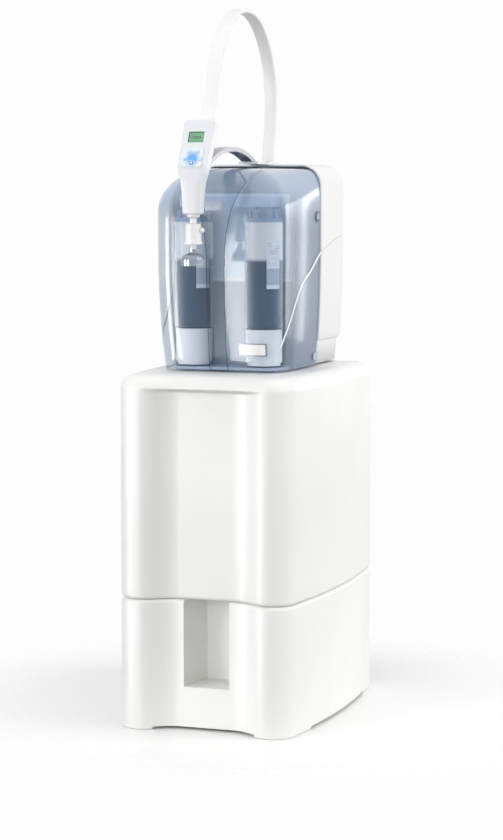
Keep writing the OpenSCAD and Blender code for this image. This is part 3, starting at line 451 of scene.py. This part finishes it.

# %% [markdown]
# ## Latches
# Each latch is a small rosette with eight slots round its middle. The slots are not cut: the shade inside
# them is painted as a dark colour, placed by the angle round the latch's axis.

# %% Latches
slot_count, slot_in, slot_out = 8, 0.0045, 0.0095
latch_low, latch_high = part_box("latch_right")
latch_z = middle("latch_right")[2]
latch_y = latch_low[1] + (latch_high[2] - latch_low[2]) / 2
_, along_y, height = latch_smoky.place()
off_y, off_z = along_y - latch_y, height - latch_z
turn = off_z.arctan2(off_y) * (slot_count / (2 * math.pi))
slot_painted_shade = (turn.fract() > 0.5) * distance(off_y, off_z).between(slot_in, slot_out)
# The slots' dark colour is painted shade.
latch_smoky.set("Base Color", latch_smoky.mix(slot_painted_shade, (0.30, 0.35, 0.44), (0.05, 0.06, 0.09)))
print("latches ready")

# %% [markdown]
# ## Dress the CAD nodes
# The part's record names a finish, its slot, for each node. One table turns slots into materials, and a
# second one lists the few nodes whose look differs from the rest of their slot. Faces are shaded smooth
# except where they meet at a clear angle.

# %% Dress the CAD nodes
slot_mats = {
    "shell": shell, "white_housing": housing_white, "smoked_cover": smoked, "white_plastic": plastic_white,
    "grey_plastic": plastic_grey, "steel": steel, "grey_metal": grey_sheet, "zinc_metal": zinc,
    "rubber_foot": rubber, "clear_plastic": clear_plastic, "resin_blue": resin, "dark_plastic": plastic_dark,
    "black_plastic": plastic_black, "label_white": label_film, "board_green": board, "tube_clear": tube_milky,
    "hose_white": hose_white, "arm_silver": arm_silver, "handset_white": handset_white, "lcd_green": lcd,
    "foil_blue": foil, "key_blue": key_blue, "key_dark": key_dark, "badge_white": plastic_white,
}
own_mats = {
    "cartridge_left": chamber_clear, "cartridge_right": chamber_clear, "cup_left": cup_pale,
    "cup_right": cup_pale, "cap_left": cap_blue, "cap_right": cap_blue, "manifold": manifold_blue,
    "chassis": chassis_sheet, "badge_plate": badge_white, "display_lens": lens_clear,
    "filling_bell": bell_clear, "latch_left": latch_smoky, "latch_right": latch_smoky,
}
node_slot = {part["node"]: part["material_slot"] for part in frame["record"]["subparts"]}
for name, obj in nodes.items():
    mat = own_mats.get(name, slot_mats[node_slot[name]])
    obj.data.materials.clear()
    obj.data.materials.append(mat.data)
    for face in obj.data.polygons:
        face.use_smooth = True
    obj.data.set_sharp_from_angle(angle=math.radians(32))
print("dressed", len(nodes), "nodes")

# %% [markdown]
# ## Pieces from rings
# Hose, stand, tank and bevel lines are all lofts: the same outline again and again along a path, joined into
# a skin. Blender can loft curves, but rings of points in plain code keep every face a neat quad. `piece`
# makes the object and says which body it rides on, and `loft` joins the rings and closes both ends.

# %% Pieces from rings
def mesh_object(name, verts, faces):
    mesh = bpy.data.meshes.new(name)
    mesh.from_pydata([tuple(v) for v in verts], [], faces)
    mesh.update()
    obj = bpy.data.objects.new(name, mesh)
    scene.collection.objects.link(obj)
    return obj


def piece(name, verts, faces, mat, body, smooth):
    """A piece that rides on a body, shaded smooth up to the given angle between faces."""
    obj = mesh_object(name, verts, faces)
    obj.data.materials.append(mat.data)
    for face in obj.data.polygons:
        face.use_smooth = True
    obj.data.set_sharp_from_angle(angle=math.radians(smooth))
    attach(obj, body)
    return obj


def loft(name, rings, mat, body="frame", smooth=40):
    """Joins closed rings of equally many points, with a flat face at each end."""
    n = len(rings[0])
    verts = [p for ring in rings for p in ring]
    faces = [(k * n + i, k * n + (i + 1) % n, (k + 1) * n + (i + 1) % n, (k + 1) * n + i)
             for k in range(len(rings) - 1) for i in range(n)]
    faces += [tuple(reversed(range(n))), tuple(range((len(rings) - 1) * n, len(rings) * n))]
    return piece(name, verts, faces, mat, body, smooth)


print("piece and loft ready")

# %% [markdown]
# ## Hose
# A flat hose, 27 mm wide and 8 mm thick, rises from its socket on the housing, arches over and comes down
# to the dispenser. Its route repeats the CAD hose's route, point by point. Straight runs between those
# points would show corners, so `along` draws a smooth curve through them.

# %% Hose route
hose_half = (0.0135, 0.004)
hose_route = [
    (0, 0.135, 1.114), (0, 0.141, 1.140), (0, 0.147, 1.168), (0, 0.152, 1.198), (0, 0.155, 1.228),
    (0, 0.154, 1.258), (0, 0.149, 1.289), (0, 0.139, 1.318), (0, 0.124, 1.345), (0, 0.104, 1.370),
    (0, 0.080, 1.391), (0, 0.052, 1.408), (0, 0.020, 1.419), (0, -0.014, 1.423), (0, -0.048, 1.421),
    (0, -0.080, 1.412), (0, -0.110, 1.397), (0, -0.137, 1.377), (0.001, -0.160, 1.353),
    (0.002, -0.179, 1.326), (0.003, -0.194, 1.298), (0.004, -0.207, 1.269), (0.005, -0.219, 1.240),
    (0.005, -0.232, 1.212), (0.004, -0.242, 1.191)]


def along(points, steps):
    """Points on a smooth curve through the given ones, each with the direction of travel."""
    pts = [Vector(p) for p in points]
    out = []
    for i in range(len(pts) - 1):
        a, b = pts[max(i - 1, 0)], pts[i]
        c, d = pts[i + 1], pts[min(i + 2, len(pts) - 1)]
        slope, bend, twist = c - a, 2 * a - 5 * b + 4 * c - d, 3 * b - a - 3 * c + d
        for s in range(steps if i < len(pts) - 2 else steps + 1):
            t = s / steps
            place = 0.5 * (2 * b + slope * t + bend * t ** 2 + twist * t ** 3)
            travel = 0.5 * (slope + 2 * bend * t + 3 * twist * t ** 2)
            out.append((place, travel.normalized()))
    return out


hose_line = along(hose_route, steps=8)
print("hose points:", len(hose_line))

# %% [markdown]
# The hose's section is a flat oval with straight faces and round edges. It is laid at every point of the
# curve, square to the direction of travel, with its width always from side to side.

# %% Hose
def flat_oval(half_w, half_t, count=28):
    """Section of a flat hose, as x across the width and y through the thickness."""
    edge_r, out = half_t * 0.92, []
    for i in range(count):
        a = 2 * math.pi * i / count
        x = math.copysign(half_w - edge_r, math.cos(a)) + edge_r * math.cos(a)
        if abs(math.cos(a)) < 1e-6:
            x = 0
        out.append((x, half_t * math.copysign(abs(math.sin(a)) ** 0.8, math.sin(a))))
    return out


hose_section = flat_oval(*hose_half)
hose_rings = []
for place, travel in hose_line:
    across = Vector((1, 0, 0))
    through = travel.cross(across).normalized()
    hose_rings.append([place + across * x + through * y for x, y in hose_section])
hose = loft("hose_flat", hose_rings, hose_white)
hose_length = sum((b[0] - a[0]).length for a, b in zip(hose_line, hose_line[1:]))
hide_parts("hose")
print("hose length", round(hose_length, 3))

# %% [markdown]
# ## Lines and arcs in millimetres
# All larger shapes begin as a plan, their outline seen from above, made of lines and arcs. From here on
# lengths are in millimetres, as in the CAD part: `box_mm` asks the frame for a node's corners, and `mm` turns
# points back into metres.

# %% Lines and arcs in millimetres
def box_mm(node):
    """Lowest and highest corner of a CAD node's box at rest, in millimetres."""
    return [[round(v * 1000, 2) for v in corner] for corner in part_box(node)]


def mm(points):
    return [Vector(p) * 0.001 for p in points]


def line(a, b, n):
    """n points from a towards b, without b itself."""
    return [(a[0] + (b[0] - a[0]) * i / n, a[1] + (b[1] - a[1]) * i / n) for i in range(n)]


def arc(cx, cy, r, start, n=12):
    """n points of a quarter circle that begins at the angle start, without its last point."""
    return [(cx + r * math.cos(math.radians(start + 90 * i / n)),
             cy + r * math.sin(math.radians(start + 90 * i / n))) for i in range(n)]


print("points of an arc:", len(arc(0, 0, 1, 0)))

# %% [markdown]
# ## Plan of stand and tank
# Stand and tank share one outline: bowed sides, round corners, and a front with a wide hollow between two
# crests. It could be a single spline, but its bulges would be hard to place. So a plain rounded rectangle
# comes first, and then each of its points is pushed outwards by the bow and inwards by the hollow.

# %% Plan of stand and tank
(body_left, body_front, _), (body_right, body_back, stand_h) = box_mm("stand")
tank_top = box_mm("tank")[1][2]
bow_side, corner_r, least_r = 22, 42, 4
front_crest, front_fade, front_dip = 128, 72, 33
front_steps, side_steps, back_steps = 64, 40, 24
body_w, body_d = body_right - body_left - 2 * bow_side, body_back - body_front
body_y = (body_front + body_back) / 2


def hollow(x):
    """Share of the front hollow at x: 1 in the middle, and 0 from the crest outwards."""
    t = max(0.0, min(1.0, (front_crest - abs(x)) / front_fade))
    return math.sin(math.pi / 2 * t) ** 1.4


def body_plan(inset, dip=front_dip):
    """Outline of the stand or tank, drawn in by inset, with a front hollow of the given depth."""
    hw, hd, r = body_w / 2 - inset, body_d / 2 - inset, max(corner_r - inset, least_r)
    ring = (line((r - hw, -hd), (hw - r, -hd), front_steps) + arc(hw - r, r - hd, r, -90)
            + line((hw, r - hd), (hw, hd - r), side_steps) + arc(hw - r, hd - r, r, 0)
            + line((hw - r, hd), (r - hw, hd), back_steps) + arc(r - hw, hd - r, r, 90)
            + line((-hw, hd - r), (-hw, r - hd), side_steps) + arc(r - hw, r - hd, r, 180))
    out = []
    for x, y in ring:
        x += bow_side * math.cos(math.pi / 2 * y / hd) * x / hw
        dip_here = dip * hollow(x) * (-y / hd) ** 3 if y < 0 else 0
        out.append((x, body_y + y + dip_here))
    return out


print("plan points:", len(body_plan(0)))

# %% [markdown]
# ## Rounded edges
# An upper or lower edge of such a block is rounded by rings that move in as they rise or fall along a
# quarter circle. A bevel would do it as well, but it would stumble over the closely set points of the plan.

# %% Rounded edges
def rounded(z, r, steps, up):
    """Heights and insets that round the edge at z: an upper edge if up is true, else a lower one."""
    out = []
    for i in range(steps + 1):
        a = math.pi / 2 * (i / steps if up else 1 - i / steps)
        out.append((z + (1 if up else -1) * r * (math.sin(a) - 1), r * (1 - math.cos(a))))
    return out


print("a rounded edge of 8 mm:", [(round(z, 1), round(inset, 1)) for z, inset in rounded(0, 8, 2, True)])

# %% [markdown]
# ## Cutters
# The niche and the gaps between the feet are cut out with Boolean modifiers. A modifier could stay live, but
# then its cutter would have to stay in the scene, so `carve` keeps the finished mesh and removes the cutter.

# %% Cutters
def prism(name, plan, low, high, top_plan=None):
    """A solid between two heights, from a plan at the foot and maybe another one at the top."""
    n = len(plan)
    verts = mm([(x, y, low) for x, y in plan] + [(x, y, high) for x, y in (top_plan or plan)])
    faces = [tuple(reversed(range(n))), tuple(range(n, 2 * n))]
    faces += [(i, (i + 1) % n, n + (i + 1) % n, n + i) for i in range(n)]
    return mesh_object(name, verts, faces)


def box_plan(x0, y0, x1, y1):
    return [(x0, y0), (x1, y0), (x1, y1), (x0, y1)]


def carve(obj, *cutters):
    """Takes the cutters out of obj for good."""
    for cutter in cutters:
        mod = obj.modifiers.new("cut", "BOOLEAN")
        mod.operation, mod.solver, mod.object = "DIFFERENCE", "EXACT", cutter
    bpy.context.view_layer.update()
    done = bpy.data.meshes.new_from_object(obj.evaluated_get(bpy.context.evaluated_depsgraph_get()))
    obj.modifiers.clear()
    obj.data = done
    obj.data.set_sharp_from_angle(angle=math.radians(40))
    for cutter in cutters:
        bpy.data.objects.remove(cutter)


print("cutters ready")

# %% [markdown]
# ## Softening
# No moulded edge is truly sharp. A Bevel modifier rounds what the cuts leave, and it only takes edges where
# two faces meet at more than the given angle, so the smooth walls keep their faces.

# %% Softening
def soften(obj, width, angle=35, segments=3):
    """Rounds the sharp edges of obj by width, in metres."""
    mod = obj.modifiers.new("bevel", "BEVEL")
    mod.width, mod.segments, mod.limit_method = width, segments, "ANGLE"
    mod.angle_limit = math.radians(angle)


print("softening ready")

# %% [markdown]
# ## Stand
# The stand is a rounded block on four low corner feet. Its niche is open at the top and narrows towards the
# back. Two low cutters, one from front to back and one from side to side, leave the feet standing. Every
# cutter reaches past the stand, because faces that only touch make a Boolean fail.

# %% Stand
niche_floor, niche_front_half, niche_back_half, niche_deep = 86, 48, 33, 95
foot_w, foot_d, foot_h = 92, 118, 6
beyond, beyond_y, below, above, past_front, past_back = 400, 600, -5, 800, 40, 60
levels = rounded(0, r=4, steps=3, up=False) + rounded(stand_h, r=8, steps=6, up=True)
stand = loft("stand_body", [mm([(x, y, z) for x, y in body_plan(inset)]) for z, inset in levels], shell)
niche_mouth = body_front + front_dip
niche_plan = [(-niche_front_half, body_front - past_front), (niche_front_half, body_front - past_front),
              (niche_front_half, niche_mouth), (niche_back_half, niche_mouth + niche_deep),
              (-niche_back_half, niche_mouth + niche_deep), (-niche_front_half, niche_mouth)]
gap_half = body_w / 2 + bow_side - foot_w
carve(stand, prism("cut_niche", niche_plan, niche_floor, beyond),
      prism("cut_gap_long", box_plan(-gap_half, -beyond_y, gap_half, beyond_y), below, foot_h),
      prism("cut_gap_side", box_plan(-beyond, body_front + foot_d, beyond, body_back - foot_d), below,
            foot_h))
soften(stand, width=0.0025)
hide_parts("stand")
print("stand faces:", len(stand.data.polygons))

# %% [markdown]
# ## Tank
# The tank has the same plan. Near its top a lip closes the front hollow, so the hollow's depth shrinks from
# ring to ring there, and above the lip the top edge is widely rounded. At the back a low step and the lap of
# the lift-off hood are cut away.

# %% Tank
tank_gap, lip_z, tank_round, top_dip = 0.6, tank_top - 28, 30, 0.3
lip_fade = ((-60, 1), (-14, 0.98), (-6, 0.93), (-2, 0.72), (0, 0.45), (2, 0.32))
step_d, step_h, lap_d, lap_h = 50, 96, 84, 9
levels = [(z, inset, front_dip) for z, inset in rounded(stand_h + tank_gap, r=8, steps=6, up=False)]
levels += [(lip_z + rise, 0, front_dip * share) for rise, share in lip_fade]
levels += [(z, inset, front_dip * top_dip)
           for z, inset in rounded(tank_top, r=tank_round, steps=12, up=True) if z > lip_z + 3]
tank = loft("tank_body", [mm([(x, y, z) for x, y in body_plan(inset, dip)]) for z, inset, dip in levels],
            shell)
carve(tank, prism("cut_step", box_plan(-beyond, body_back - step_d, beyond, body_back + past_back),
                  tank_top - step_h, above),
      prism("cut_lap", box_plan(-beyond, body_back - lap_d, beyond, body_back), tank_top - lap_h, above))
soften(tank, width=0.002)
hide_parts("tank")
print("tank faces:", len(tank.data.polygons))

# %% [markdown]
# ## How the unit narrows
# Cover and housing draw in towards their foot, the front most of all. The cover's two lobes have a channel
# between them that widens upwards and fades out into the roof. Three small functions give these amounts at
# any height, so that the cover's rings all follow one rule.

# %% How the unit narrows
(_, seam_y, unit_z), (half_unit, unit_back, unit_top) = box_mm("housing")
unit_front, cover_top, seam_gap = box_mm("cover")[0][1], unit_top - 9, 0.6
lean_h, lean_side, lean_front, lean_back = 240, 9, 20, 8
channel_half, channel_spread, channel_d = 17, 43, 20
spread_low, spread_h, fade_low, fade_h = unit_top - 228, 194, unit_top - 110, 100


def lean(z):
    """Share of the drawing-in at z: 1 at the tank's top, and 0 from lean_h above it."""
    return max(0.0, 1 - (z - tank_top) / lean_h) ** 2


def channel_at(z):
    """Half width of the channel."""
    return channel_half + channel_spread * max(0.0, (z - spread_low) / spread_h) ** 3


def channel_depth(z):
    return channel_d * (1 - max(0.0, min(1.0, (z - fade_low) / fade_h)) ** 1.5)


print("channel half widths:", [round(channel_at(z), 1) for z in (800, 900, 1000, 1100)])

# %% [markdown]
# ## Plan of the cover
# The cover's plan runs from the seam on the left round the front to the seam on the right. Only its left
# half is drawn: flank, round corner, lobe, the crease into the channel and the channel's floor. The right
# half is its mirror image. The flank is slightly bowed, because a flat one mirrors the studio like a pane.

# %% Plan of the cover
flank_bow, lobe_crown, crease_w = 1.5, 4, 3
unit_corner, least_corner, least_lobe = 50, 12, 8
flank_steps, corner_steps, lobe_steps = 20, 14, 12


def cover_plan(z, side, front):
    """Outline of the cover at z, drawn in by side at the seam and by front at the front."""
    hs = half_unit - lean_side * lean(z) - side
    hw = half_unit - lean_side * lean(z) - max(front, side)
    f = unit_front + lean_front * lean(z) + front
    s, r = seam_y - seam_gap, max(unit_corner - 0.3 * side, least_corner)
    c, d = min(channel_at(z), hw - r - least_lobe), channel_depth(z)
    flank = [(x - flank_bow * math.sin(math.pi * i / flank_steps), y)
             for i, (x, y) in enumerate(line((-hs, s), (-hw, f + r), flank_steps))]
    lobe = [((r - hw) + (hw - r - c - crease_w) * u, f + lobe_crown * u * u)
            for u in [i / lobe_steps for i in range(lobe_steps)]]
    crease = [(-c - crease_w, f + lobe_crown), (-c - 1.2, f + lobe_crown + 0.12 * d), (-c, f + 0.5 * d + 2),
              (-c + 0.6, f + d)]
    channel_floor = [(-c * share, f + d) for share in (0.75, 0.5, 0.25)]
    left_half = flank + arc(r - hw, f + r, r, 180, corner_steps) + lobe + crease + channel_floor
    return left_half + [(0, f + d)] + [(-x, y) for x, y in reversed(left_half)]


print("cover points:", len(cover_plan(unit_z, 0, 0)))

# %% [markdown]
# ## Plan of the housing
# The housing's plan runs on from the right end of the seam round the back to the left end, with plain flat
# walls and round corners. It uses the same drawing-in as the cover, so that both meet along the whole seam.

# %% Plan of the housing
rear_corner, least_rear, wall_steps, rear_steps = 40, 10, 14, 20


def housing_plan(z, inset):
    """Outline of the housing at z, from the right end of the seam round the back."""
    hw = half_unit - lean_side * lean(z) - inset
    b, r = unit_back - inset - lean_back * lean(z), max(rear_corner - 0.3 * inset, least_rear)
    return (line((hw, seam_y), (hw, b - r), wall_steps) + arc(hw - r, b - r, r, 0)
            + line((hw - r, b), (r - hw, b), rear_steps) + arc(r - hw, b - r, r, 90)
            + line((-hw, b - r), (-hw, seam_y), wall_steps) + [(-hw, seam_y)])


print("housing points:", len(housing_plan(unit_z, 0)))

# %% [markdown]
# ## Domes and walls
# Both halves of the unit are thin shells, open at the seam. `dome` joins their open rings and closes the roof
# with a fan of triangles to the middle of the seam. The wall comes from a Solidify modifier, which can give
# the inner face a material of its own.

# %% Domes and walls
def dome(name, rings, seam, roof_z, mat, body):
    """Joins open rings that end at the seam, closed above by a flat roof."""
    n = len(rings[0])
    verts = [p for ring in rings for p in ring] + mm([(0, seam, roof_z)])
    faces = [(k * n + i, k * n + i + 1, (k + 1) * n + i + 1, (k + 1) * n + i)
             for k in range(len(rings) - 1) for i in range(n - 1)]
    top = (len(rings) - 1) * n
    faces += [(top + i, top + i + 1, len(verts) - 1) for i in range(n - 1)]
    return piece(name, verts, faces, mat, body, smooth=35)


def thicken(obj, depth, inner=None):
    """Gives a sheet its wall, whose inner face may have a material of its own."""
    mod = obj.modifiers.new("wall", "SOLIDIFY")
    mod.thickness, mod.offset = depth, -1
    if inner:
        obj.data.materials.append(inner.data)
        mod.material_offset = 1


print("dome and wall ready")

# %% [markdown]
# ## Cover
# The rings climb straight up the walls and then turn over into the roof, in a wide curve at the front and a
# tight one at the sides. The lines on the lobes' crests are kept from the rings, because a thin edge is laid
# on them later.

# %% Cover
roof_side, roof_front, roof_steps, last_slope = 34, 86, 21, 88
cover_levels = [(unit_z + h, 0, 0) for h in (0, 1.5, 8, 20, 40, 65, 90, 120, 160, 200, 240, 270, 300)]
for i in range(roof_steps + 1):
    slope = math.radians(last_slope * i / roof_steps)
    turned = 1 - math.cos(slope)
    cover_levels.append((cover_top - roof_front * (1 - math.sin(slope)), roof_side * turned ** 1.6,
                         roof_front * turned))
rings = [mm([(x, y, z) for x, y in cover_plan(z, side, front)]) for z, side, front in cover_levels]
cover = dome("cover_shell", rings, seam_y - seam_gap, cover_levels[-1][0], smoked, "cover")
thicken(cover, depth=0.003, inner=smoked_inner)
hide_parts("cover")
crease_start = flank_steps + corner_steps + lobe_steps
crest_left = [ring[crease_start + 1] for ring in rings]
crest_right = [ring[-2 - crease_start] for ring in rings]
print("cover rings:", len(rings))

# %% [markdown]
# ## Housing
# The housing is the unit's opaque rear half. Its foot is set in by a few millimetres as a shadow line, and
# its roof is rounded evenly on all sides.

# %% Housing
foot_in, roof_round = 6, 42
housing_levels = [(unit_z, foot_in), (unit_z + 44, foot_in), (unit_z + 46, 5.6), (unit_z + 50, 0.6)]
housing_levels += [(unit_z + h, 0) for h in (52, 70, 100, 130, 160, 200, 240, 300)]
housing_levels += [(unit_top - roof_round * (1 - math.sin(math.radians(a))),
                    roof_round * (1 - math.cos(math.radians(a)))) for a in range(0, 90, 6)]
housing_levels += [(unit_top, roof_round - 1)]
rings = [mm([(x, y, z) for x, y in housing_plan(z, inset)]) for z, inset in housing_levels]
housing = dome("housing_shell", rings, seam_y, unit_top, housing_white, "frame")
thicken(housing, depth=0.004)
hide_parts("housing")
print("housing rings:", len(rings))

# %% [markdown]
# ## Bevel lines
# A thin raised line sweeps up the cover's side from the lobe and runs on over the housing. It could be drawn
# in the material, but only a real ridge catches the light. The ridge is a low round ribbon along points that
# were set on the surface, for the right side. The left one is their mirror image.

# %% Bevel lines
sweep_cover = [(124.4, -146.5, 759), (129.9, -132, 786), (131.1, -108, 811), (132.2, -83, 841),
               (133, -58, 868), (133.4, -30, 886.5), (133.7, 8, 902), (133.9, 47, 924), (133.9, 76.5, 938)]
sweep_housing = [(134, 82, 940), (134, 93, 943), (134, 120, 951), (134, 161, 961), (134, 196, 968),
                 (133.6, 225, 972)]
flank_start, flank_length = (unit_front + unit_corner) * 0.001, 0.217
corner_x, corner_y, corner_end = 0.0762, -0.133, -0.136


def ribbon(name, points, mirror, half, lift, mat, body):
    """A low ridge on the unit's side, half its width to each side of the points and lift high."""
    rings = []
    for place, travel in along([(x * 0.001, y * 0.001, z * 0.001) for x, y, z in points], steps=6):
        out = Vector((1, 0, 0))
        if place.y <= corner_end:
            out = Vector((place.x - corner_x, place.y - corner_y, 0)).normalized()
        bow = 0
        if body == "cover":
            share = max(0.0, min(1.0, (place.y - flank_start) / flank_length))
            bow = flank_bow * math.sin(math.pi * share) * 0.001
        up = out.cross(travel).normalized()
        ring = []
        for i in range(8):
            a = 2 * math.pi * i / 8
            p = place + out * (bow + lift * math.sin(a)) + up * (half * math.cos(a))
            ring.append(Vector((mirror * p.x, p.y, p.z)))
        rings.append(ring)
    loft(name, rings, mat, body, smooth=60)


print("points of the bevel lines:", len(sweep_cover) + len(sweep_housing))

# %% [markdown]
# ## Trim of both sides
# Besides its bevel lines, each side gets a hair-thin dark line of painted shade along the crest, where the
# lobe turns into the channel, and a dark catch low at the cover's rear end, a small block that is a little
# wider at its top.

# %% Trim of both sides
crest_r = 0.0007
catch_in, catch_foot, catch_head = 125.0, 128.6, 129.4
catch_front, catch_back, catch_low, catch_high = 47, 76, 720, 735
round_crest = [Vector((crest_r * math.cos(math.pi / 2 * i), crest_r * math.sin(math.pi / 2 * i), 0))
               for i in range(4)]
for side, mirror, path in (("right", 1, crest_right), ("left", -1, crest_left)):
    # Each bevel line is a real ridge, coloured with a painted highlight on the cover and with painted shade
    # on the housing.
    ribbon("sweep_cover_" + side, sweep_cover, mirror, half=0.0023, lift=0.0012, mat=ridge_painted_highlight,
           body="cover")
    ribbon("sweep_housing_" + side, sweep_housing, mirror, half=0.0012, lift=0.0005, mat=ridge_painted_shade,
           body="frame")
    # A thin tube of painted shade along the crease between lobe and channel.
    loft("crest_" + side, [[p + off for off in round_crest] for p in path[:-2]], crease_painted_shade,
         "cover")
    foot_plan, head_plan = [
        box_plan(min(mirror * catch_in, mirror * x), catch_front, max(mirror * catch_in, mirror * x),
                 catch_back) for x in (catch_foot, catch_head)]
    catch = prism("catch_" + side, foot_plan, catch_low, catch_high, head_plan)
    catch.data.materials.append(latch_smoky.data)
    soften(catch, width=0.0008)
    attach(catch, "cover")
print("trim ready")

# %% [markdown]
# ## Droplet
# The main key carries a plain white droplet: a circle whose upper part is drawn up to a point. It is written
# in the flat plane of the dispenser's head, and `on_head` tilts that plane into place.

# %% Droplet
head_x, head_y, head_z, head_tilt = -2.5, -297, 1100, math.radians(27)
drop_r, drop_z, drop_tip, drop_count, drop_back, drop_front = 2.3, 11.2, 1.9, 24, -17.9, -18.25


def on_head(x, y, z):
    """A point of the dispenser's tilted head, in metres of the part's frame."""
    return Vector((x + head_x, head_y + y * math.cos(head_tilt) + z * math.sin(head_tilt),
                   head_z - y * math.sin(head_tilt) + z * math.cos(head_tilt))) * 0.001


drop = []
for i in range(drop_count):
    a = 2 * math.pi * i / drop_count
    tip = max(0.0, math.sin(a)) ** 3
    drop.append((drop_r * math.cos(a) * (1 - 0.5 * tip), drop_z + drop_r * math.sin(a) + drop_tip * tip))
loft("key_droplet", [[on_head(x, y, z) for x, z in drop] for y in (drop_back, drop_front)], plastic_white,
     "dispense_key")
print("droplet points:", len(drop))

# %% [markdown]
# ## Soft edges
# A sharp edge never catches a highlight, and it gives a model away. Moulded and machined CAD pieces get a
# small Bevel modifier, which leaves their meshes as they are. Widths are in millimetres.

# %% Soft edges
edge_widths = {
    "valve_block": 1.2, "manifold": 1.0, "holder_base": 1.2, "hose_socket": 0.8, "connection_hood": 2.0,
    "power_inlet": 0.5, "switch_frame": 0.5, "outlet_collar": 0.6, "holder_cradle": 0.6, "holder_arm": 0.4,
    "pump": 0.8, "power_supply": 0.8, "badge_plate": 0.3, "unit_feet": 0.4,
}
for name, width in edge_widths.items():
    soften(nodes[name], width * 0.001, angle=40, segments=2)
print("softened", len(edge_widths), "nodes")

# %% [markdown]
# ## Floor
# The photograph has no horizon: its floor is white and keeps only a soft shadow at the object's foot. A wide
# plane would show an edge, so the floor is a disc that turns see-through towards its rim.

# %% Floor
floor_r, floor_y, floor_sides = 1.4, 0.1, 64
floor_mat = Mat("floor", (0.86, 0.86, 0.86), 0.35, Specular_IOR_Level=0.6)
across, along_y, _ = floor_mat.place()
floor_mat.set("Alpha", 1 - distance(across, along_y - floor_y).smooth(0.30, 0.80))
turns = [2 * math.pi * i / floor_sides for i in range(floor_sides)]
floor_rim = [(floor_r * math.cos(a), floor_y + floor_r * math.sin(a), 0) for a in turns]
floor = mesh_object("floor", floor_rim, [tuple(range(floor_sides))])
floor.data.materials.append(floor_mat.data)
print("floor radius", floor_r)

# %% [markdown]
# ## Soft lamps
# Big soft lamps stand in front, at the right, above and behind. They could also show as reflections, but the
# bands on the cover's flank have places of their own in the photograph. So these lamps light every surface
# and stay out of mirror images, and the panels below do the reverse.

# %% Soft lamps
def lamp(name, place, target, size, power):
    """A rectangular lamp that the camera does not see."""
    data = bpy.data.lights.new(name, "AREA")
    data.shape, data.size, data.size_y = "RECTANGLE", *size
    data.energy = power
    obj = bpy.data.objects.new(name, data)
    obj.location = place
    obj.rotation_euler = (Vector(target) - Vector(place)).to_track_quat("-Z", "Y").to_euler()
    obj.visible_camera = False
    scene.collection.objects.link(obj)
    return obj


for name, place, target_z, size, power in (
        ("front_light", (-2.2, -3.0, 2.0), 0.6, (2.4, 1.8), 68),
        ("low_light", (0.2, -3.6, 1.0), 0.4, (1.6, 1.2), 33),
        ("side_light", (3.2, 0.3, 1.5), 0.6, (1.6, 2.4), 82),
        ("top_light", (0, -0.6, 4.0), 0.8, (2.6, 2.0), 40),
        ("rear_light", (0, 3.2, 2.2), 0.7, (2.4, 1.6), 24)):
    lamp(name, place, (0, 0, target_z), size, power).visible_glossy = False
print("lamps ready")

# %% [markdown]
# ## Bright panels
# Tall panels only show as reflections in the glossy cover: one at the front left and one at the left make
# the bright edges of the lobes, and two behind at the right make the bands on the cover's flank.

# %% Bright panels
panel_z, band_z = 0.14, 0.94
for name, place, target, size, power in (
        ("panel_front", (-1.44, -2.80, panel_z), (0, -0.19, panel_z), (0.63, 1.68), 38),
        ("panel_left", (-2.16, -1.44, panel_z), (0, -0.19, panel_z), (0.90, 1.68), 50),
        ("panel_wide", (1.275, 2.0, band_z), (1.275, 0, band_z), (0.69, 0.78), 4.2),
        ("panel_thin", (0.815, 2.0, band_z), (0.815, 0, band_z), (0.060, 0.78), 0.62)):
    lamp(name, place, target, size, power).visible_diffuse = False
print("lights:", len(bpy.data.lights))

# %% [markdown]
# ## World
# The world gives a low, even fill to all surfaces. The camera and mirror images see it nearly white, which
# is what makes the background pale without any more light on the object.

# %% World
fill_level, seen_level = 0.34, 0.985
world = bpy.data.worlds.new("studio")
world.use_nodes = True
studio = Nodes(world.node_tree)
camera_ray, glossy_ray, passing_ray = [
    studio.node("ShaderNodeLightPath", out=kind) for kind in ("Is Camera Ray", "Is Glossy Ray",
                                                              "Is Transmission Ray")]
seen = camera_ray.larger(glossy_ray).larger(passing_ray)
sky = world.node_tree.nodes["Background"]
studio.feed(sky.inputs["Color"], (1, 1, 1))
studio.feed(sky.inputs["Strength"], seen * (seen_level - fill_level) + fill_level)
scene.world = world
scene.view_settings.view_transform = "Standard"
print("world ready")
